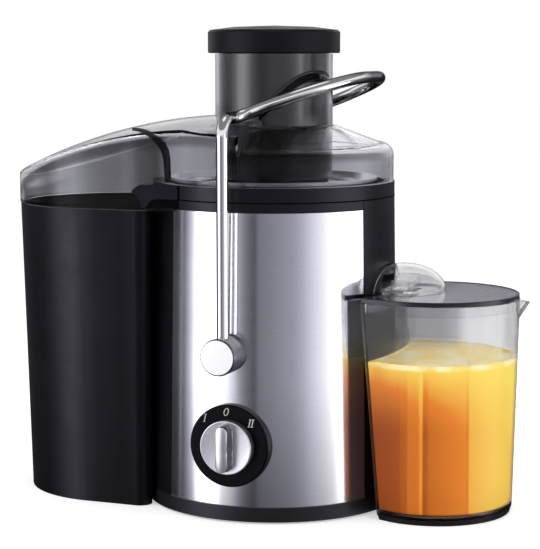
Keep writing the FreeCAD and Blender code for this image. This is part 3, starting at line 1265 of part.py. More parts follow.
def make_speed_board():
    board_z = f"({PLATE_TOP} + BoardLift)"
    board_top = f"({board_z} + BoardThickness)"
    board = wide_box("BoardWidth / 2", "BoardY", board_z, "BoardDepth", "BoardThickness")
    posts = []
    for x in ("StandoffInset - BoardWidth / 2", "BoardWidth / 2 - StandoffInset"):
        for y in ("BoardY + StandoffInset", "BoardY + BoardDepth - StandoffInset"):
            posts.append(cylinder("StandoffRadius", "BoardLift", x=x, y=y, z=PLATE_TOP))
    capacitor = wide_box("CapacitorWidth / 2", "BoardY + BoardDepth / 2 - CapacitorDepth / 2", board_top,
                         "CapacitorDepth", "CapacitorHeight", x="-BoardWidth / 4")
    heat_sink = wide_box("SinkWidth / 2", "BoardY + BoardDepth / 2 - SinkDepth / 2", board_top,
                         "SinkDepth", "SinkHeight", x="BoardWidth / 4")
    sub_part("speed_board", fuse(board, capacitor, heat_sink))
    sub_part("board_standoffs", group(posts))


make_base()
make_housing()
make_cord_gland()
make_bowl()
make_shaft_seal()
make_lid()
make_saddles()
make_pusher()
make_locking_arm()
make_pivot_bushes()
make_interlock()
make_dial()
make_bin()
make_jug()
make_jug_lid()
make_basket()
make_rotor()
make_stator()
make_brushes()
make_speed_board()
doc.recompute()

faults = [thing.Name for thing in doc.Objects if "Invalid" in thing.State or "Error" in thing.State]
for label, thing in sub_parts.items():
    shape = thing.Shape
    if shape.isNull() or not shape.isValid() or not shape.Solids:
        faults.append(label)
if faults:
    raise RuntimeError("these objects failed: " + ", ".join(faults))

os.makedirs("parts", exist_ok=True)
for label, thing in sub_parts.items():
    thing.Shape.exportStep(f"parts/{label}.step")
print(len(sub_parts), "sub-parts written")
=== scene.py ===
"""Dresses a centrifugal juicer: finishes, juice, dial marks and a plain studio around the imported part.

Lengths are metres in the part's own frame. Heights and distances that are written in millimetres
about the motor's axis go through spot().
"""
import math

import bmesh
import bpy
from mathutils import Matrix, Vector


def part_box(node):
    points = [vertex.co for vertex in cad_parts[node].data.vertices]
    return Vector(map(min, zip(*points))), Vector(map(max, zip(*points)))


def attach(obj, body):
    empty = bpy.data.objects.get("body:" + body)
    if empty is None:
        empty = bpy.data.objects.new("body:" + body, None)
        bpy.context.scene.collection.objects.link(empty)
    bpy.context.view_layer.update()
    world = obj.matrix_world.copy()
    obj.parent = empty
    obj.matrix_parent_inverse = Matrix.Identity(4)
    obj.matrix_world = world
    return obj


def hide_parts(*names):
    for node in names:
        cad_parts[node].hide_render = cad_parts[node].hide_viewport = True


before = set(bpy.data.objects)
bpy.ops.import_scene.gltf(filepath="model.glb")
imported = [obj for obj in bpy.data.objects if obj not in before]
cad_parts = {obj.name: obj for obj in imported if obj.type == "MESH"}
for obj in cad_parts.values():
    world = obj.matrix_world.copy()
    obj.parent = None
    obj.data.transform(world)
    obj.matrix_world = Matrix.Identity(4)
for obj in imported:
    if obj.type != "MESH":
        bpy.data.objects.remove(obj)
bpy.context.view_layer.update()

bl_info = {
    "name": "Centrifugal Juicer",
    "version": (1, 0, 0),
    "blender": (4, 5, 0),
    "location": "3D View > Sidebar > Juicer",
    "description": "Builds the finishes and the loose pieces of a centrifugal juicer around its packed solids",
    "category": "Object",
}

MM = 0.001
SHAFT_LOW, SHAFT_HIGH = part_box("motor_shaft")
AXIS_X = (SHAFT_LOW.x + SHAFT_HIGH.x) / 2


def spot(x, y, z):
    """A place in millimetres about the motor's axis, as a vector in metres in the part's frame."""
    return Vector((AXIS_X + x * MM, y * MM, z * MM))


# ---------------------------------------------------------------- meshes
def as_piece(name, shape, material, body, smooth_angle=35.0):
    """A closed mesh piece that rides on a body. The shape is its points and its faces."""
    mesh = bpy.data.meshes.new(name)
    mesh.from_pydata([tuple(point) for point in shape[0]], [], shape[1])
    mesh.validate()
    cleaned = bmesh.new()
    cleaned.from_mesh(mesh)
    bmesh.ops.remove_doubles(cleaned, verts=cleaned.verts, dist=1e-6)
    bmesh.ops.recalc_face_normals(cleaned, faces=cleaned.faces)
    cleaned.to_mesh(mesh)
    cleaned.free()
    for face in mesh.polygons:
        face.use_smooth = True
    mesh.set_sharp_from_angle(angle=math.radians(smooth_angle))
    piece = bpy.data.objects.new(name, mesh)
    bpy.context.scene.collection.objects.link(piece)
    piece.data.materials.append(material)
    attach(piece, body)
    return piece


def stacked_rings(rings, cap_last=True, closed_loop=False):
    """Points and faces of rings with equal counts, joined one to the next."""
    points = [point for ring in rings for point in ring]
    count = len(rings[0])
    pairs = [(low, low + 1) for low in range(len(rings) - 1)]
    if closed_loop:
        pairs.append((len(rings) - 1, 0))
    faces = []
    for low, high in pairs:
        for index in range(count):
            following = (index + 1) % count
            faces.append((low * count + index, low * count + following,
                          high * count + following, high * count + index))
    if not closed_loop:
        faces.append(tuple(reversed(range(count))))
        if cap_last:
            faces.append(tuple(range(len(points) - count, len(points))))
    return points, faces


def joined(shapes):
    """Several shapes as one."""
    points, faces = [], []
    for more, sides in shapes:
        faces += [tuple(index + len(points) for index in side) for side in sides]
        points = points + more
    return points, faces


def flat_ring(radius, z, turns, middle_x=0.0):
    """A ring of points about an upright line, in metres."""
    angles = [2 * math.pi * index / turns for index in range(turns)]
    return [Vector((middle_x + radius * math.cos(angle), radius * math.sin(angle), z)) for angle in angles]


# ---------------------------------------------------------------- finishes
def new_finish(name, colour, roughness, **sockets):
    """A node material, its tree and its shader. Words of a socket's name are joined by underscores."""
    material = bpy.data.materials.new(name)
    material.use_nodes = True
    material.diffuse_color = (*colour, 1)
    tree = material.node_tree
    shader = tree.nodes["Principled BSDF"]
    shader.inputs["Base Color"].default_value = (*colour, 1)
    shader.inputs["Roughness"].default_value = roughness
    for words, value in sockets.items():
        shader.inputs[words.replace("_", " ")].default_value = value
    return material, tree, shader


def own_place(tree, stretch=(1, 1, 1)):
    """The place on the object in metres, stretched along its axes."""
    coordinates = tree.nodes.new("ShaderNodeTexCoord")
    mapping = tree.nodes.new("ShaderNodeMapping")
    mapping.inputs["Scale"].default_value = stretch
    tree.links.new(coordinates.outputs["Object"], mapping.inputs["Vector"])
    return mapping.outputs["Vector"]


def nodes_of(material):
    """A finish's tree and its shader."""
    return material.node_tree, material.node_tree.nodes["Principled BSDF"]


def fill(tree, socket, value):
    """Links a socket, or gives it a plain number or colour."""
    if isinstance(value, bpy.types.NodeSocket):
        tree.links.new(value, socket)
    elif isinstance(value, tuple):
        socket.default_value = (*value, 1)
    else:
        socket.default_value = value


def axes(tree, vector):
    """The three numbers of a vector or a colour."""
    node = tree.nodes.new("ShaderNodeSeparateXYZ")
    tree.links.new(vector, node.inputs["Vector"])
    return node.outputs["X"], node.outputs["Y"], node.outputs["Z"]


def place_axes(tree):
    """X, y and z of the place on the object."""
    return axes(tree, own_place(tree))


def normal_axes(tree):
    """X, y and z of the way that a face looks."""
    return axes(tree, tree.nodes.new("ShaderNodeTexCoord").outputs["Normal"])


def noise(tree, place, scale, detail=3.0, roughness=0.5):
    """Soft noise between 0 and 1."""
    texture = tree.nodes.new("ShaderNodeTexNoise")
    texture.inputs["Scale"].default_value = scale
    texture.inputs["Detail"].default_value = detail
    texture.inputs["Roughness"].default_value = roughness
    tree.links.new(place, texture.inputs["Vector"])
    return texture.outputs["Fac"]


def spread(tree, value, low, high, from_low=0.0, from_high=1.0):
    """The value, moved from one range to another."""
    node = tree.nodes.new("ShaderNodeMapRange")
    for words, number in (("From Min", from_low), ("From Max", from_high), ("To Min", low), ("To Max", high)):
        node.inputs[words].default_value = number
    tree.links.new(value, node.inputs["Value"])
    return node.outputs["Result"]


def share(tree, value, none, whole):
    """0 up to one value, rising to 1 at the other."""
    return spread(tree, value, 0, 1, none, whole)


def ramp(tree, value, stops):
    """A colour by value: stops are (position, colour)."""
    node = tree.nodes.new("ShaderNodeValToRGB")
    elements = node.color_ramp.elements
    while len(elements) > 1:
        elements.remove(elements[-1])
    elements[0].position = stops[0][0]
    elements[0].color = (*stops[0][1], 1)
    for position, colour in stops[1:]:
        elements.new(position).color = (*colour, 1)
    tree.links.new(value, node.inputs["Fac"])
    return node.outputs["Color"]


def scaled(colour, amount):
    """A plain colour, lighter or darker."""
    return tuple(amount * channel for channel in colour)


def table(tree, value, pairs, colour=(1, 1, 1)):
    """A grey or tinted level by value: pairs are (value, level)."""
    first, last = pairs[0][0], pairs[-1][0]
    stops = [((place - first) / (last - first), scaled(colour, level)) for place, level in pairs]
    return ramp(tree, share(tree, value, first, last), stops)


def level_by(tree, value, pairs):
    """A plain number by value: pairs are (value, number)."""
    return axes(tree, table(tree, value, pairs))[0]


def maths(tree, operation, first, second=0.0):
    """A sum of one or two values. Either may be a plain number."""
    node = tree.nodes.new("ShaderNodeMath")
    node.operation = operation
    fill(tree, node.inputs[0], first)
    fill(tree, node.inputs[1], second)
    return node.outputs[0]


def plus(tree, first, second):
    """The sum of two values."""
    return maths(tree, "ADD", first, second)


def minus(tree, first, second):
    """One value less another."""
    return maths(tree, "SUBTRACT", first, second)


def times(tree, first, second):
    """The product of two values."""
    return maths(tree, "MULTIPLY", first, second)


def either_way(tree, value):
    """A value without its sign."""
    return maths(tree, "ABSOLUTE", value)


def in_mm(tree, value):
    """A length in millimetres."""
    return times(tree, value, 1 / MM)


def from_axis(tree, value):
    """A distance along x from the motor's axis, in millimetres."""
    return in_mm(tree, minus(tree, value, AXIS_X))


def mix(tree, way, amount, first, second):
    """Two colours put together in one of the mix node's ways. Any of the values may be plain."""
    node = tree.nodes.new("ShaderNodeMix")
    node.data_type = "RGBA"
    node.blend_type = way
    colours = [socket for socket in node.inputs if socket.type == "RGBA"]
    fill(tree, node.inputs["Factor"], amount)
    fill(tree, colours[0], first)
    fill(tree, colours[1], second)
    return [socket for socket in node.outputs if socket.type == "RGBA"][0]


def blend(tree, amount, first, second):
    """One colour turning into another."""
    return mix(tree, "MIX", amount, first, second)


def multiply(tree, first, second):
    """One colour times another."""
    return mix(tree, "MULTIPLY", 1.0, first, second)


def grazing(tree):
    """0 where a face looks at the viewer, 1 at its outline."""
    return tree.nodes.new("ShaderNodeLayerWeight").outputs["Facing"]


def bump(tree, shader, height, distance, strength):
    """Relief from a height between 0 and 1, over a distance in metres."""
    node = tree.nodes.new("ShaderNodeBump")
    node.inputs["Distance"].default_value = distance
    node.inputs["Strength"].default_value = strength
    tree.links.new(height, node.inputs["Height"])
    tree.links.new(node.outputs["Normal"], shader.inputs["Normal"])


# the middle part of a noise, which it rarely leaves
NOISE_LOW, NOISE_HIGH = 0.3, 0.7


def vary_colour(tree, shader, texture, low, high):
    """Lets the base colour wander between two colours with a noise."""
    tree.links.new(ramp(tree, texture, [(NOISE_LOW, low), (NOISE_HIGH, high)]), shader.inputs["Base Color"])


def vary_roughness(tree, shader, texture, low, high):
    """Lets the roughness wander between two levels with a noise."""
    tree.links.new(spread(tree, texture, low, high, NOISE_LOW, NOISE_HIGH), shader.inputs["Roughness"])


def moulded(name, colour, roughness, grain_scale=900.0, grain_depth=0.00001, **sockets):
    """Moulded plastic: faint mottling, uneven gloss and a fine grain."""
    material, tree, shader = new_finish(name, colour, roughness, **sockets)
    shader.inputs["Specular Tint"].default_value = (0.84, 0.82, 1.0, 1)
    place = own_place(tree)
    vary_colour(tree, shader, noise(tree, place, 28.0, 4.0), scaled(colour, 0.86), scaled(colour, 1.14))
    vary_roughness(tree, shader, noise(tree, place, 60.0, 5.0), roughness * 0.88, roughness * 1.12)
    bump(tree, shader, noise(tree, place, grain_scale, 2.0), grain_depth, 0.5)
    return material


def metal(name, colour, roughness, stretch=(1, 1, 1), streak_scale=400.0, streak_depth=0.000004, metallic=1.0):
    """Metal with fine streaks along the short axes of stretch."""
    material, tree, shader = new_finish(name, colour, roughness, Metallic=metallic)
    streaks = noise(tree, own_place(tree, stretch), streak_scale, 4.0, 0.65)
    vary_colour(tree, shader, streaks, scaled(colour, 0.9), colour)
    vary_roughness(tree, shader, streaks, roughness * 0.85, roughness * 1.2)
    bump(tree, shader, streaks, streak_depth, 0.4)
    return material


def clear_plastic(name, tint, roughness, ior=1.57, **sockets):
    """Clear or tinted plastic that light passes through. The tint is what one wall lets through."""
    material, tree, shader = new_finish(name, tint, roughness, IOR=ior, Transmission_Weight=1.0, **sockets)
    vary_roughness(tree, shader, noise(tree, own_place(tree), 35.0, 3.0), roughness * 0.7, roughness * 1.3)
    return material


def paint_side_shade(material, tone, low, high, face=None):
    """Painted shade: another tone on the faces that look sideways, from one share of facing forwards to another."""
    tree, shader = nodes_of(material)
    if face is None:
        face = shader.inputs["Base Color"].links[0].from_socket
    frontal = share(tree, either_way(tree, normal_axes(tree)[1]), low, high)
    tree.links.new(blend(tree, frontal, tone, face), shader.inputs["Base Color"])


def dress(material, *nodes):
    """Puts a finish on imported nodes, in the slots that they have."""
    for name in nodes:
        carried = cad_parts[name]
        if not carried.material_slots:
            carried.data.materials.append(material)
        for holder in carried.material_slots:
            holder.material = material


# ---------------------------------------------------------------- settings
class JuicerColours(bpy.types.PropertyGroup):
    """Colours that a user may change."""
    black_plastic: bpy.props.FloatVectorProperty(
        name="Black plastic", description="Housing, bin and pusher cap", subtype="COLOR", size=3,
        min=0, max=1, default=(0.0045, 0.0043, 0.0064))
    steel: bpy.props.FloatVectorProperty(
        name="Steel", description="Brushed front panel", subtype="COLOR", size=3,
        min=0, max=1, default=(0.86, 0.86, 0.90))
    smoke: bpy.props.FloatVectorProperty(
        name="Smoke", description="What one wall of the feed lid lets through", subtype="COLOR", size=3,
        min=0, max=1, default=(0.50, 0.50, 0.53))
    juice_light: bpy.props.FloatVectorProperty(
        name="Light juice", description="Juice near the lip", subtype="COLOR", size=3,
        min=0, max=1, default=(0.96, 0.76, 0.13))
    juice_middle: bpy.props.FloatVectorProperty(
        name="Middle juice", description="Juice halfway along the jug", subtype="COLOR", size=3,
        min=0, max=1, default=(0.74, 0.215, 0.020))
    juice_deep: bpy.props.FloatVectorProperty(
        name="Deep juice", description="Juice low down at the housing", subtype="COLOR", size=3,
        min=0, max=1, default=(0.30, 0.050, 0.001))


class JuicerSizes(bpy.types.PropertyGroup):
    """Sizes of the loose pieces."""
    juice_level: bpy.props.FloatProperty(
        name="Juice level", description="Height of the juice above the counter", subtype="DISTANCE",
        unit="LENGTH", min=0.02, max=0.14, default=0.107)
    mark_height: bpy.props.FloatProperty(
        name="Dial mark height", description="Height of the marks on the bezel", subtype="DISTANCE",
        unit="LENGTH", min=0.003, max=0.008, default=0.0054)


class JuicerStudio(bpy.types.PropertyGroup):
    """Camera and light."""
    camera_azimuth: bpy.props.FloatProperty(
        name="Camera azimuth", description="Degrees from the front towards the jug", min=-180, max=180,
        default=20.797)
    camera_pitch: bpy.props.FloatProperty(
        name="Camera pitch", description="Degrees below the horizon", min=-90, max=90, default=7.167)
    camera_place: bpy.props.FloatVectorProperty(
        name="Camera place", description="Place of the camera", subtype="XYZ", unit="LENGTH", size=3,
        default=(AXIS_X + 0.44570, -1.18137, 0.3158))
    lens: bpy.props.FloatProperty(
        name="Lens", description="Focal length in millimetres", min=10, max=400, default=120.08)


# ---------------------------------------------------------------- the housing
# the joint line under the bowl's rim, in millimetres: half its sweep in degrees, steps along it, and its
# section as radius and height about the joint
SEAM_SWEEP, SEAM_STEPS = 148, 120
SEAM_SECTION = ((84.3, -0.5), (84.72, -0.4), (84.72, 0.4), (84.3, 0.5))
# the collar's ears beside the pulp channel, and under each a black sheet of painted shade where the shade under the
# ear falls: x and z of their outlines in millimetres
CHANNEL_WALL, EAR_THICKNESS, SHADE_SHEET_THICKNESS = 73.75, 1.4, 0.7
EAR = ((-75.4, 219.4), (-72.0, 222.2), (-68.2, 224.2), (-41.0, 224.2), (-41.0, 214.6), (-55.5, 214.6),
       (-59.5, 213.9), (-62.2, 212.0), (-64.0, 208.6), (-67.6, 208.4), (-69.0, 212.5), (-71.8, 216.5))
EAR_SHADE_SHEET = ((-63.6, 208.5), (-41.0, 208.5), (-41.0, 214.8), (-56.0, 214.8), (-60.4, 214.0))


class JUICER_OT_housing(bpy.types.Operator):
    """Finishes the housing, its base and the bowl under the lid"""
    bl_idname = "juicer.housing"
    bl_label = "Housing"

    def execute(self, context):
        black = tuple(context.scene.juicer_colours.black_plastic)
        body = moulded("housing_plastic", black, 0.34, Specular_IOR_Level=0.29)
        dress(body, "motor_housing", "bowl_surround", "motor_deck", "juice_bowl", "bowl_floor", "bowl_apron")
        base = moulded("base_plastic", (0.008, 0.008, 0.009), 0.42, grain_scale=700.0, grain_depth=0.00002)
        dress(base, "base_cover", "cord_gland")
        rubber = moulded("foot_rubber", (0.016, 0.016, 0.017), 0.75, grain_scale=500.0, grain_depth=0.00003)
        dress(rubber, "rubber_feet", "motor_dampers", "shaft_seal")
        saddle = moulded("saddle_plastic", (0.012, 0.012, 0.014), 0.35)
        dress(saddle, "lid_saddles", "lid_drip_rib", "pivot_bushes")
        self.collar_seam(moulded("seam_shadow", (0.0006, 0.0006, 0.0007), 0.8, Specular_IOR_Level=0.1))
        wing = moulded("wing_plastic", black, 0.4, Specular_IOR_Level=0.12)
        self.collar_plates(("front_collar_wing", "rear_collar_wing"), EAR, EAR_THICKNESS, wing)
        # black sheets under the ears: painted shade, put where the shade under each ear falls
        shade_sheet = moulded("ear_shade_sheet_finish", (0.001, 0.001, 0.0012), 0.6, Specular_IOR_Level=0.05)
        self.collar_plates(("front_wing_web", "rear_wing_web"), EAR_SHADE_SHEET, SHADE_SHEET_THICKNESS, shade_sheet)
        return {"FINISHED"}

    def collar_seam(self, material):
        """The joint line between the housing's top and the bowl's rim."""
        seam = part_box("bowl_surround")[1].z / MM
        rings = []
        for step in range(SEAM_STEPS + 1):
            turn = math.radians(SEAM_SWEEP * (2 * step / SEAM_STEPS - 1))
            rings.append([spot(radius * math.cos(turn), radius * math.sin(turn), seam + rise)
                          for radius, rise in SEAM_SECTION])
        as_piece("collar_seam", stacked_rings(rings), material, "housing")

    def collar_plates(self, names, outline, thickness, material):
        """The same flat plate on the front and on the rear wall of the pulp channel."""
        for name, side in zip(names, (-1, 1)):
            rings = [[spot(x, side * y, z) for x, z in outline] for y in (CHANNEL_WALL, CHANNEL_WALL + thickness)]
            as_piece(name, stacked_rings(rings), material, "housing")


class JUICER_OT_steel_panel(bpy.types.Operator):
    """Brushes the steel front panel"""
    bl_idname = "juicer.steel_panel"
    bl_label = "Steel panel"

    def execute(self, context):
        steel = tuple(context.scene.juicer_colours.steel)
        material, tree, shader = new_finish("brushed_steel", steel, 0.13, Metallic=1.0, Anisotropic=0.8)
        tangent = tree.nodes.new("ShaderNodeTangent")
        tangent.direction_type = "RADIAL"
        tangent.axis = "Z"
        tree.links.new(tangent.outputs["Tangent"], shader.inputs["Tangent"])
        streaks = noise(tree, own_place(tree, (0.05, 0.05, 1)), 2600.0, 3.0, 0.7)
        broad = noise(tree, own_place(tree, (0.3, 0.3, 1)), 60.0, 2.0)
        tree.links.new(ramp(tree, streaks, [(0.25, scaled(steel, 0.92)), (0.75, steel)]), shader.inputs["Base Color"])
        vary_roughness(tree, shader, broad, 0.085, 0.115)
        dress(material, "steel_front_panel")
        return {"FINISHED"}


# ---------------------------------------------------------------- lid, chute and pusher
# smoke of the lid's front wall, with painted light and shade in bands: distance from the motor's axis, share of light
# that each face lets through
LID_SMOKE_AND_SHADE_ALONG = ((-191, 0.48), (-165, 0.52), (-154, 0.60), (-147, 0.44), (-142, 0.38), (-137, 0.52), (-131, 0.72),
               (-120, 0.74), (-114, 0.60), (-109, 0.47), (-98, 0.36), (-87, 0.33), (-81, 0.38), (-76, 0.34),
               (-71, 0.20), (-57, 0.12), (-52, 0.30), (-49, 0.62), (-35, 0.78), (-24, 0.66), (-5, 0.52), (8, 0.52),
               (21, 0.42), (39, 0.46), (50, 0.55), (60, 0.72), (69, 0.84), (77, 0.95), (82, 0.72), (84, 0.66))
# smoke of its roof, with painted light and shade along it
ROOF_SMOKE_AND_LIGHT_ALONG = ((-191, 0.42), (-110, 0.42), (-84, 0.52), (-66, 0.56), (-40, 0.50), (-22, 0.58), (-12, 0.42), (0, 0.24),
              (30, 0.24), (38, 0.50), (46, 0.94), (84, 0.95))
# depth below the roof: how far the roof's own smoke reaches, and a painted dark line of shade under the rounded edge
EDGE_LIGHT = ((0.0, 1.0), (10.3, 1.0), (12.3, 0.0), (20.0, 0.0))
EDGE_SHADE = ((0.0, 1.0), (10.8, 1.0), (12.6, 0.46), (16.6, 0.50), (20.6, 1.0), (24.0, 1.0))
# height in millimetres: a painted dark line of shade along the lid's lower rim
RIM_SHADE_LINE = ((206.0, 0.15), (208.0, 0.15), (208.8, 1.0), (212.0, 1.0))
# the channel's roof is an arc with its crest here, the bowl's roof is flat and starts at this x, in millimetres
ROOF_RADIUS, CREST_X, CREST_Z = 330.0, -25.0, 269.5
BOWL_ROOF_Z, BOWL_ROOF_X = 260.0, -10.0
# the painted highlight on the roof's rounded shoulder, and the tone of the clear back
SHOULDER_HIGHLIGHT, CLEAR_BACK = (0.93, 0.93, 0.95), (0.92, 0.92, 0.94)
# how far a face looks up or down, from wall to roof
WALL_TO_ROOF = (0.45, 0.85)
# y in metres from front to back. The back is clear beyond an x and from one height to the next, in millimetres
FRONT_TO_BACK, CLEAR_BACK_X, CLEAR_BACK_Z = (-0.02, 0.04), -14.0, (236, 242)
# light that the back and the chute let through, against the lid's smoke
BACK_LIGHT, CHUTE_LIGHT = 1.24, 0.86
# the chute is dark below the first height, where it passes through the lid: painted shade
CHUTE_FOOT, CHUTE_FOOT_SHADE = (262.5, 264.0), (0.12, 0.12, 0.13)
# the drip rib down each wall of the channel: x, z and half its width in millimetres
RIB_PATH = ((-76.0, 261.3, 1.0), (-72.0, 260.9, 1.1), (-67.5, 259.9, 1.3), (-62.5, 257.6, 1.7), (-57.8, 254.2, 2.1),
            (-54.4, 250.6, 2.3), (-52.2, 246.6, 2.2), (-51.2, 242.0, 2.0), (-50.8, 236.0, 1.8), (-50.2, 225.6, 1.5))
RIB_WALL, RIB_REACH = 70.9, 3.4


class JUICER_OT_feed_lid(bpy.types.Operator):
    """Tints the feed lid and its chute with painted light and shade, and lays the drip rib in the lid's channel"""
    bl_idname = "juicer.feed_lid"
    bl_label = "Feed lid"

    def execute(self, context):
        smoke = tuple(context.scene.juicer_colours.smoke)
        self.lid(smoke)
        self.chute(scaled(smoke, CHUTE_LIGHT))
        self.drip_rib()
        return {"FINISHED"}

    def lid(self, smoke):
        """Smoke with painted light and shade: deeper in the rounded shoulder and towards the bowl, and a painted
        highlight on the shoulder.
        """
        material = clear_plastic("smoked_lid_painted_light", smoke, 0.015, 1.12,
                                 Coat_Weight=0.5, Coat_IOR=1.12, Coat_Roughness=0.02)
        tree, shader = nodes_of(material)
        x, y, z = place_axes(tree)
        along, height = from_axis(tree, x), in_mm(tree, z)
        upward = either_way(tree, normal_axes(tree)[2])
        offset = minus(tree, along, CREST_X)
        arc = maths(tree, "SQRT", minus(tree, ROOF_RADIUS ** 2, times(tree, offset, offset)))
        below_arc = minus(tree, plus(tree, arc, CREST_Z - ROOF_RADIUS), height)
        over_bowl = maths(tree, "GREATER_THAN", along, BOWL_ROOF_X)
        depth = plus(tree, times(tree, below_arc, minus(tree, 1.0, over_bowl)),
                     times(tree, minus(tree, BOWL_ROOF_Z, height), over_bowl))
        whole = scaled(smoke, 2)
        # painted light and shade along the wall, and the painted dark line under the rounded edge
        wall = multiply(tree, table(tree, along, LID_SMOKE_AND_SHADE_ALONG, whole), table(tree, depth, EDGE_SHADE))
        # the painted highlight on the shoulder, turning into the roof's smoke and painted light
        roof = blend(tree, upward, SHOULDER_HIGHLIGHT, table(tree, along, ROOF_SMOKE_AND_LIGHT_ALONG, whole))
        near_roof = maths(tree, "MAXIMUM", level_by(tree, depth, EDGE_LIGHT), share(tree, upward, *WALL_TO_ROOF))
        # the painted dark line of shade along the lower rim
        front = multiply(tree, blend(tree, near_roof, wall, roof), table(tree, height, RIM_SHADE_LINE))
        clear = times(tree, maths(tree, "GREATER_THAN", along, CLEAR_BACK_X), share(tree, height, *CLEAR_BACK_Z))
        back = blend(tree, clear, scaled(smoke, BACK_LIGHT), CLEAR_BACK)
        tree.links.new(blend(tree, share(tree, y, *FRONT_TO_BACK), front, back), shader.inputs["Base Color"])
        dress(material, "feed_lid")

    def chute(self, tint):
        """The same smoke a little deeper, and painted shade where the chute passes through the lid."""
        material = clear_plastic("smoked_chute", tint, 0.015, 1.6)
        tree, shader = nodes_of(material)
        above = share(tree, in_mm(tree, place_axes(tree)[2]), *CHUTE_FOOT)
        # painted shade at the chute's foot
        tree.links.new(blend(tree, above, CHUTE_FOOT_SHADE, tint), shader.inputs["Base Color"])
        dress(material, "feed_chute")

    def drip_rib(self):
        """Slim dark ribs inside the channel, one down each wall."""
        shapes = []
        for side in (-1, 1):
            rings = []
            for index, (x, z, half) in enumerate(RIB_PATH):
                before = RIB_PATH[max(index - 1, 0)]
                after = RIB_PATH[min(index + 1, len(RIB_PATH) - 1)]
                length = math.hypot(after[0] - before[0], after[1] - before[1])
                across = (-(after[1] - before[1]) / length * half, (after[0] - before[0]) / length * half)
                rings.append([spot(x + sign * across[0], side * y, z + sign * across[1])
                              for sign, y in ((-1, RIB_WALL), (1, RIB_WALL),
                                              (1, RIB_WALL - RIB_REACH), (-1, RIB_WALL - RIB_REACH))])
            shapes.append(stacked_rings(rings))
        plastic = moulded("rib_plastic", (0.004, 0.004, 0.005), 0.5)
        rib = as_piece("channel_drip_rib", joined(shapes), plastic, "housing", smooth_angle=40)
        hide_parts("lid_drip_rib")


class JUICER_OT_pusher(bpy.types.Operator):
    """Finishes the pusher's cap and tube"""
    bl_idname = "juicer.pusher"
    bl_label = "Pusher"

    def execute(self, context):
        black = tuple(context.scene.juicer_colours.black_plastic)
        cap = moulded("cap_plastic", black, 0.4, Specular_IOR_Level=0.17)
        dress(cap, "pusher_cap")
        tube = moulded("pusher_plastic", (0.007, 0.007, 0.009), 0.14)
        dress(tube, "pusher_tube")
        return {"FINISHED"}


# ---------------------------------------------------------------- the arm
# painted shade: how the chrome darkens from where it faces the viewer to its outline
CHROME_OUTLINE_SHADE = ((0, 0.88), (0.50, 0.88), (0.72, 0.45), (0.88, 0.08), (1, 0.05))
BRIGHT_METAL = (1, 1, 1.02)
# painted shade of the knobs' sides
KNOB_SIDE_SHADE = (0.30, 0.30, 0.33)


class JUICER_OT_locking_arm(bpy.types.Operator):
    """Plates the locking arm and turns its knobs"""
    bl_idname = "juicer.locking_arm"
    bl_label = "Locking arm"

    def execute(self, context):
        chrome = metal("chrome", (0.88, 0.88, 0.90), 0.05, streak_scale=120.0, streak_depth=0.000001)
        tree, shader = nodes_of(chrome)
        tree.links.new(table(tree, grazing(tree), CHROME_OUTLINE_SHADE, BRIGHT_METAL), shader.inputs["Base Color"])
        shader.inputs["Specular Tint"].default_value = (0.25, 0.25, 0.27, 1)
        dress(chrome, "locking_bail")
        turned = metal("turned_knob", (0.95, 0.95, 0.97), 0.2, stretch=(1, 0.02, 1), streak_scale=40.0,
                       streak_depth=0.0000002, metallic=0.85)
        self.knob_finish(turned)
        dress(turned, "front_pivot_knob", "rear_pivot_knob")
        pin = metal("pin_steel", (0.55, 0.55, 0.56), 0.25)
        dress(pin, "front_pivot_pin", "rear_pivot_pin", "interlock_cam", "interlock_plunger")
        return {"FINISHED"}

    def knob_finish(self, material):
        """Bright turned faces, with painted shade: a dark line round each and a greyer side."""
        tree, _ = nodes_of(material)
        x, _, z = place_axes(tree)
        low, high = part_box("front_pivot_knob")
        middle, radius = (low + high) / 2, (high.x - low.x) / 2 / MM
        across, up = minus(tree, x, middle.x), minus(tree, z, middle.z)
        out = maths(tree, "SQRT", plus(tree, times(tree, across, across), times(tree, up, up)))
        # painted shade in a dark line round the face's edge
        knob_rim_shade = ((0, 0.95), (radius - 1.25, 0.95), (radius - 0.75, 0.10), (radius + 0.5, 0.08))
        face = table(tree, in_mm(tree, out), knob_rim_shade, BRIGHT_METAL)
        paint_side_shade(material, KNOB_SIDE_SHADE, 0.3, 0.6, face)


# ---------------------------------------------------------------- the dial
# marks in metres and degrees: name, angle on the bezel, distance from its middle, where its strokes stand
STROKE_MARKS = (("dial_mark_one", 133, 0.0248, (0.0,)), ("dial_mark_two", 46, 0.0232, (-0.19, 0.19)))
OFF_MARK_ANGLE, OFF_MARK_DISTANCE = 94, 0.0232
# half width and half height of the off mark's outer and inner edge, as shares of a mark's height
OFF_MARK_OUTER, OFF_MARK_INNER, OFF_MARK_POINTS = (0.33, 0.5), (0.21, 0.41), 28
MARK_SLANT, MARK_RAISED, MARK_SUNK = 0.22, 0.00014, 0.00004


def bar(points_2d, place):
    """Points and faces of a flat shape on the bezel's front, standing out a little."""
    count = len(points_2d)
    back = [place + Vector((x, 0, z)) for x, z in points_2d]
    front = [place + Vector((x, -MARK_RAISED, z)) for x, z in points_2d]
    faces = [tuple(range(count)), tuple(reversed(range(count, 2 * count)))]
    for index in range(count):
        following = (index + 1) % count
        faces.append((index, following, count + following, count + index))
    return back + front, faces


def slanted(points_2d):
    """Leans a mark to the right."""
    return [(x + MARK_SLANT * z, z) for x, z in points_2d]


def stroke(height, shift):
    """An upright stroke with short serifs, about its middle."""
    half, thin, serif = height / 2, height * 0.062, height * 0.16
    foot = height * 0.07
    outline = [(-serif, -half), (serif, -half), (serif, -half + foot), (thin, -half + foot),
               (thin, half - foot), (serif, half - foot), (serif, half), (-serif, half),
               (-serif, half - foot), (-thin, half - foot), (-thin, -half + foot), (-serif, -half + foot)]
    return slanted([(x + shift, z) for x, z in outline])


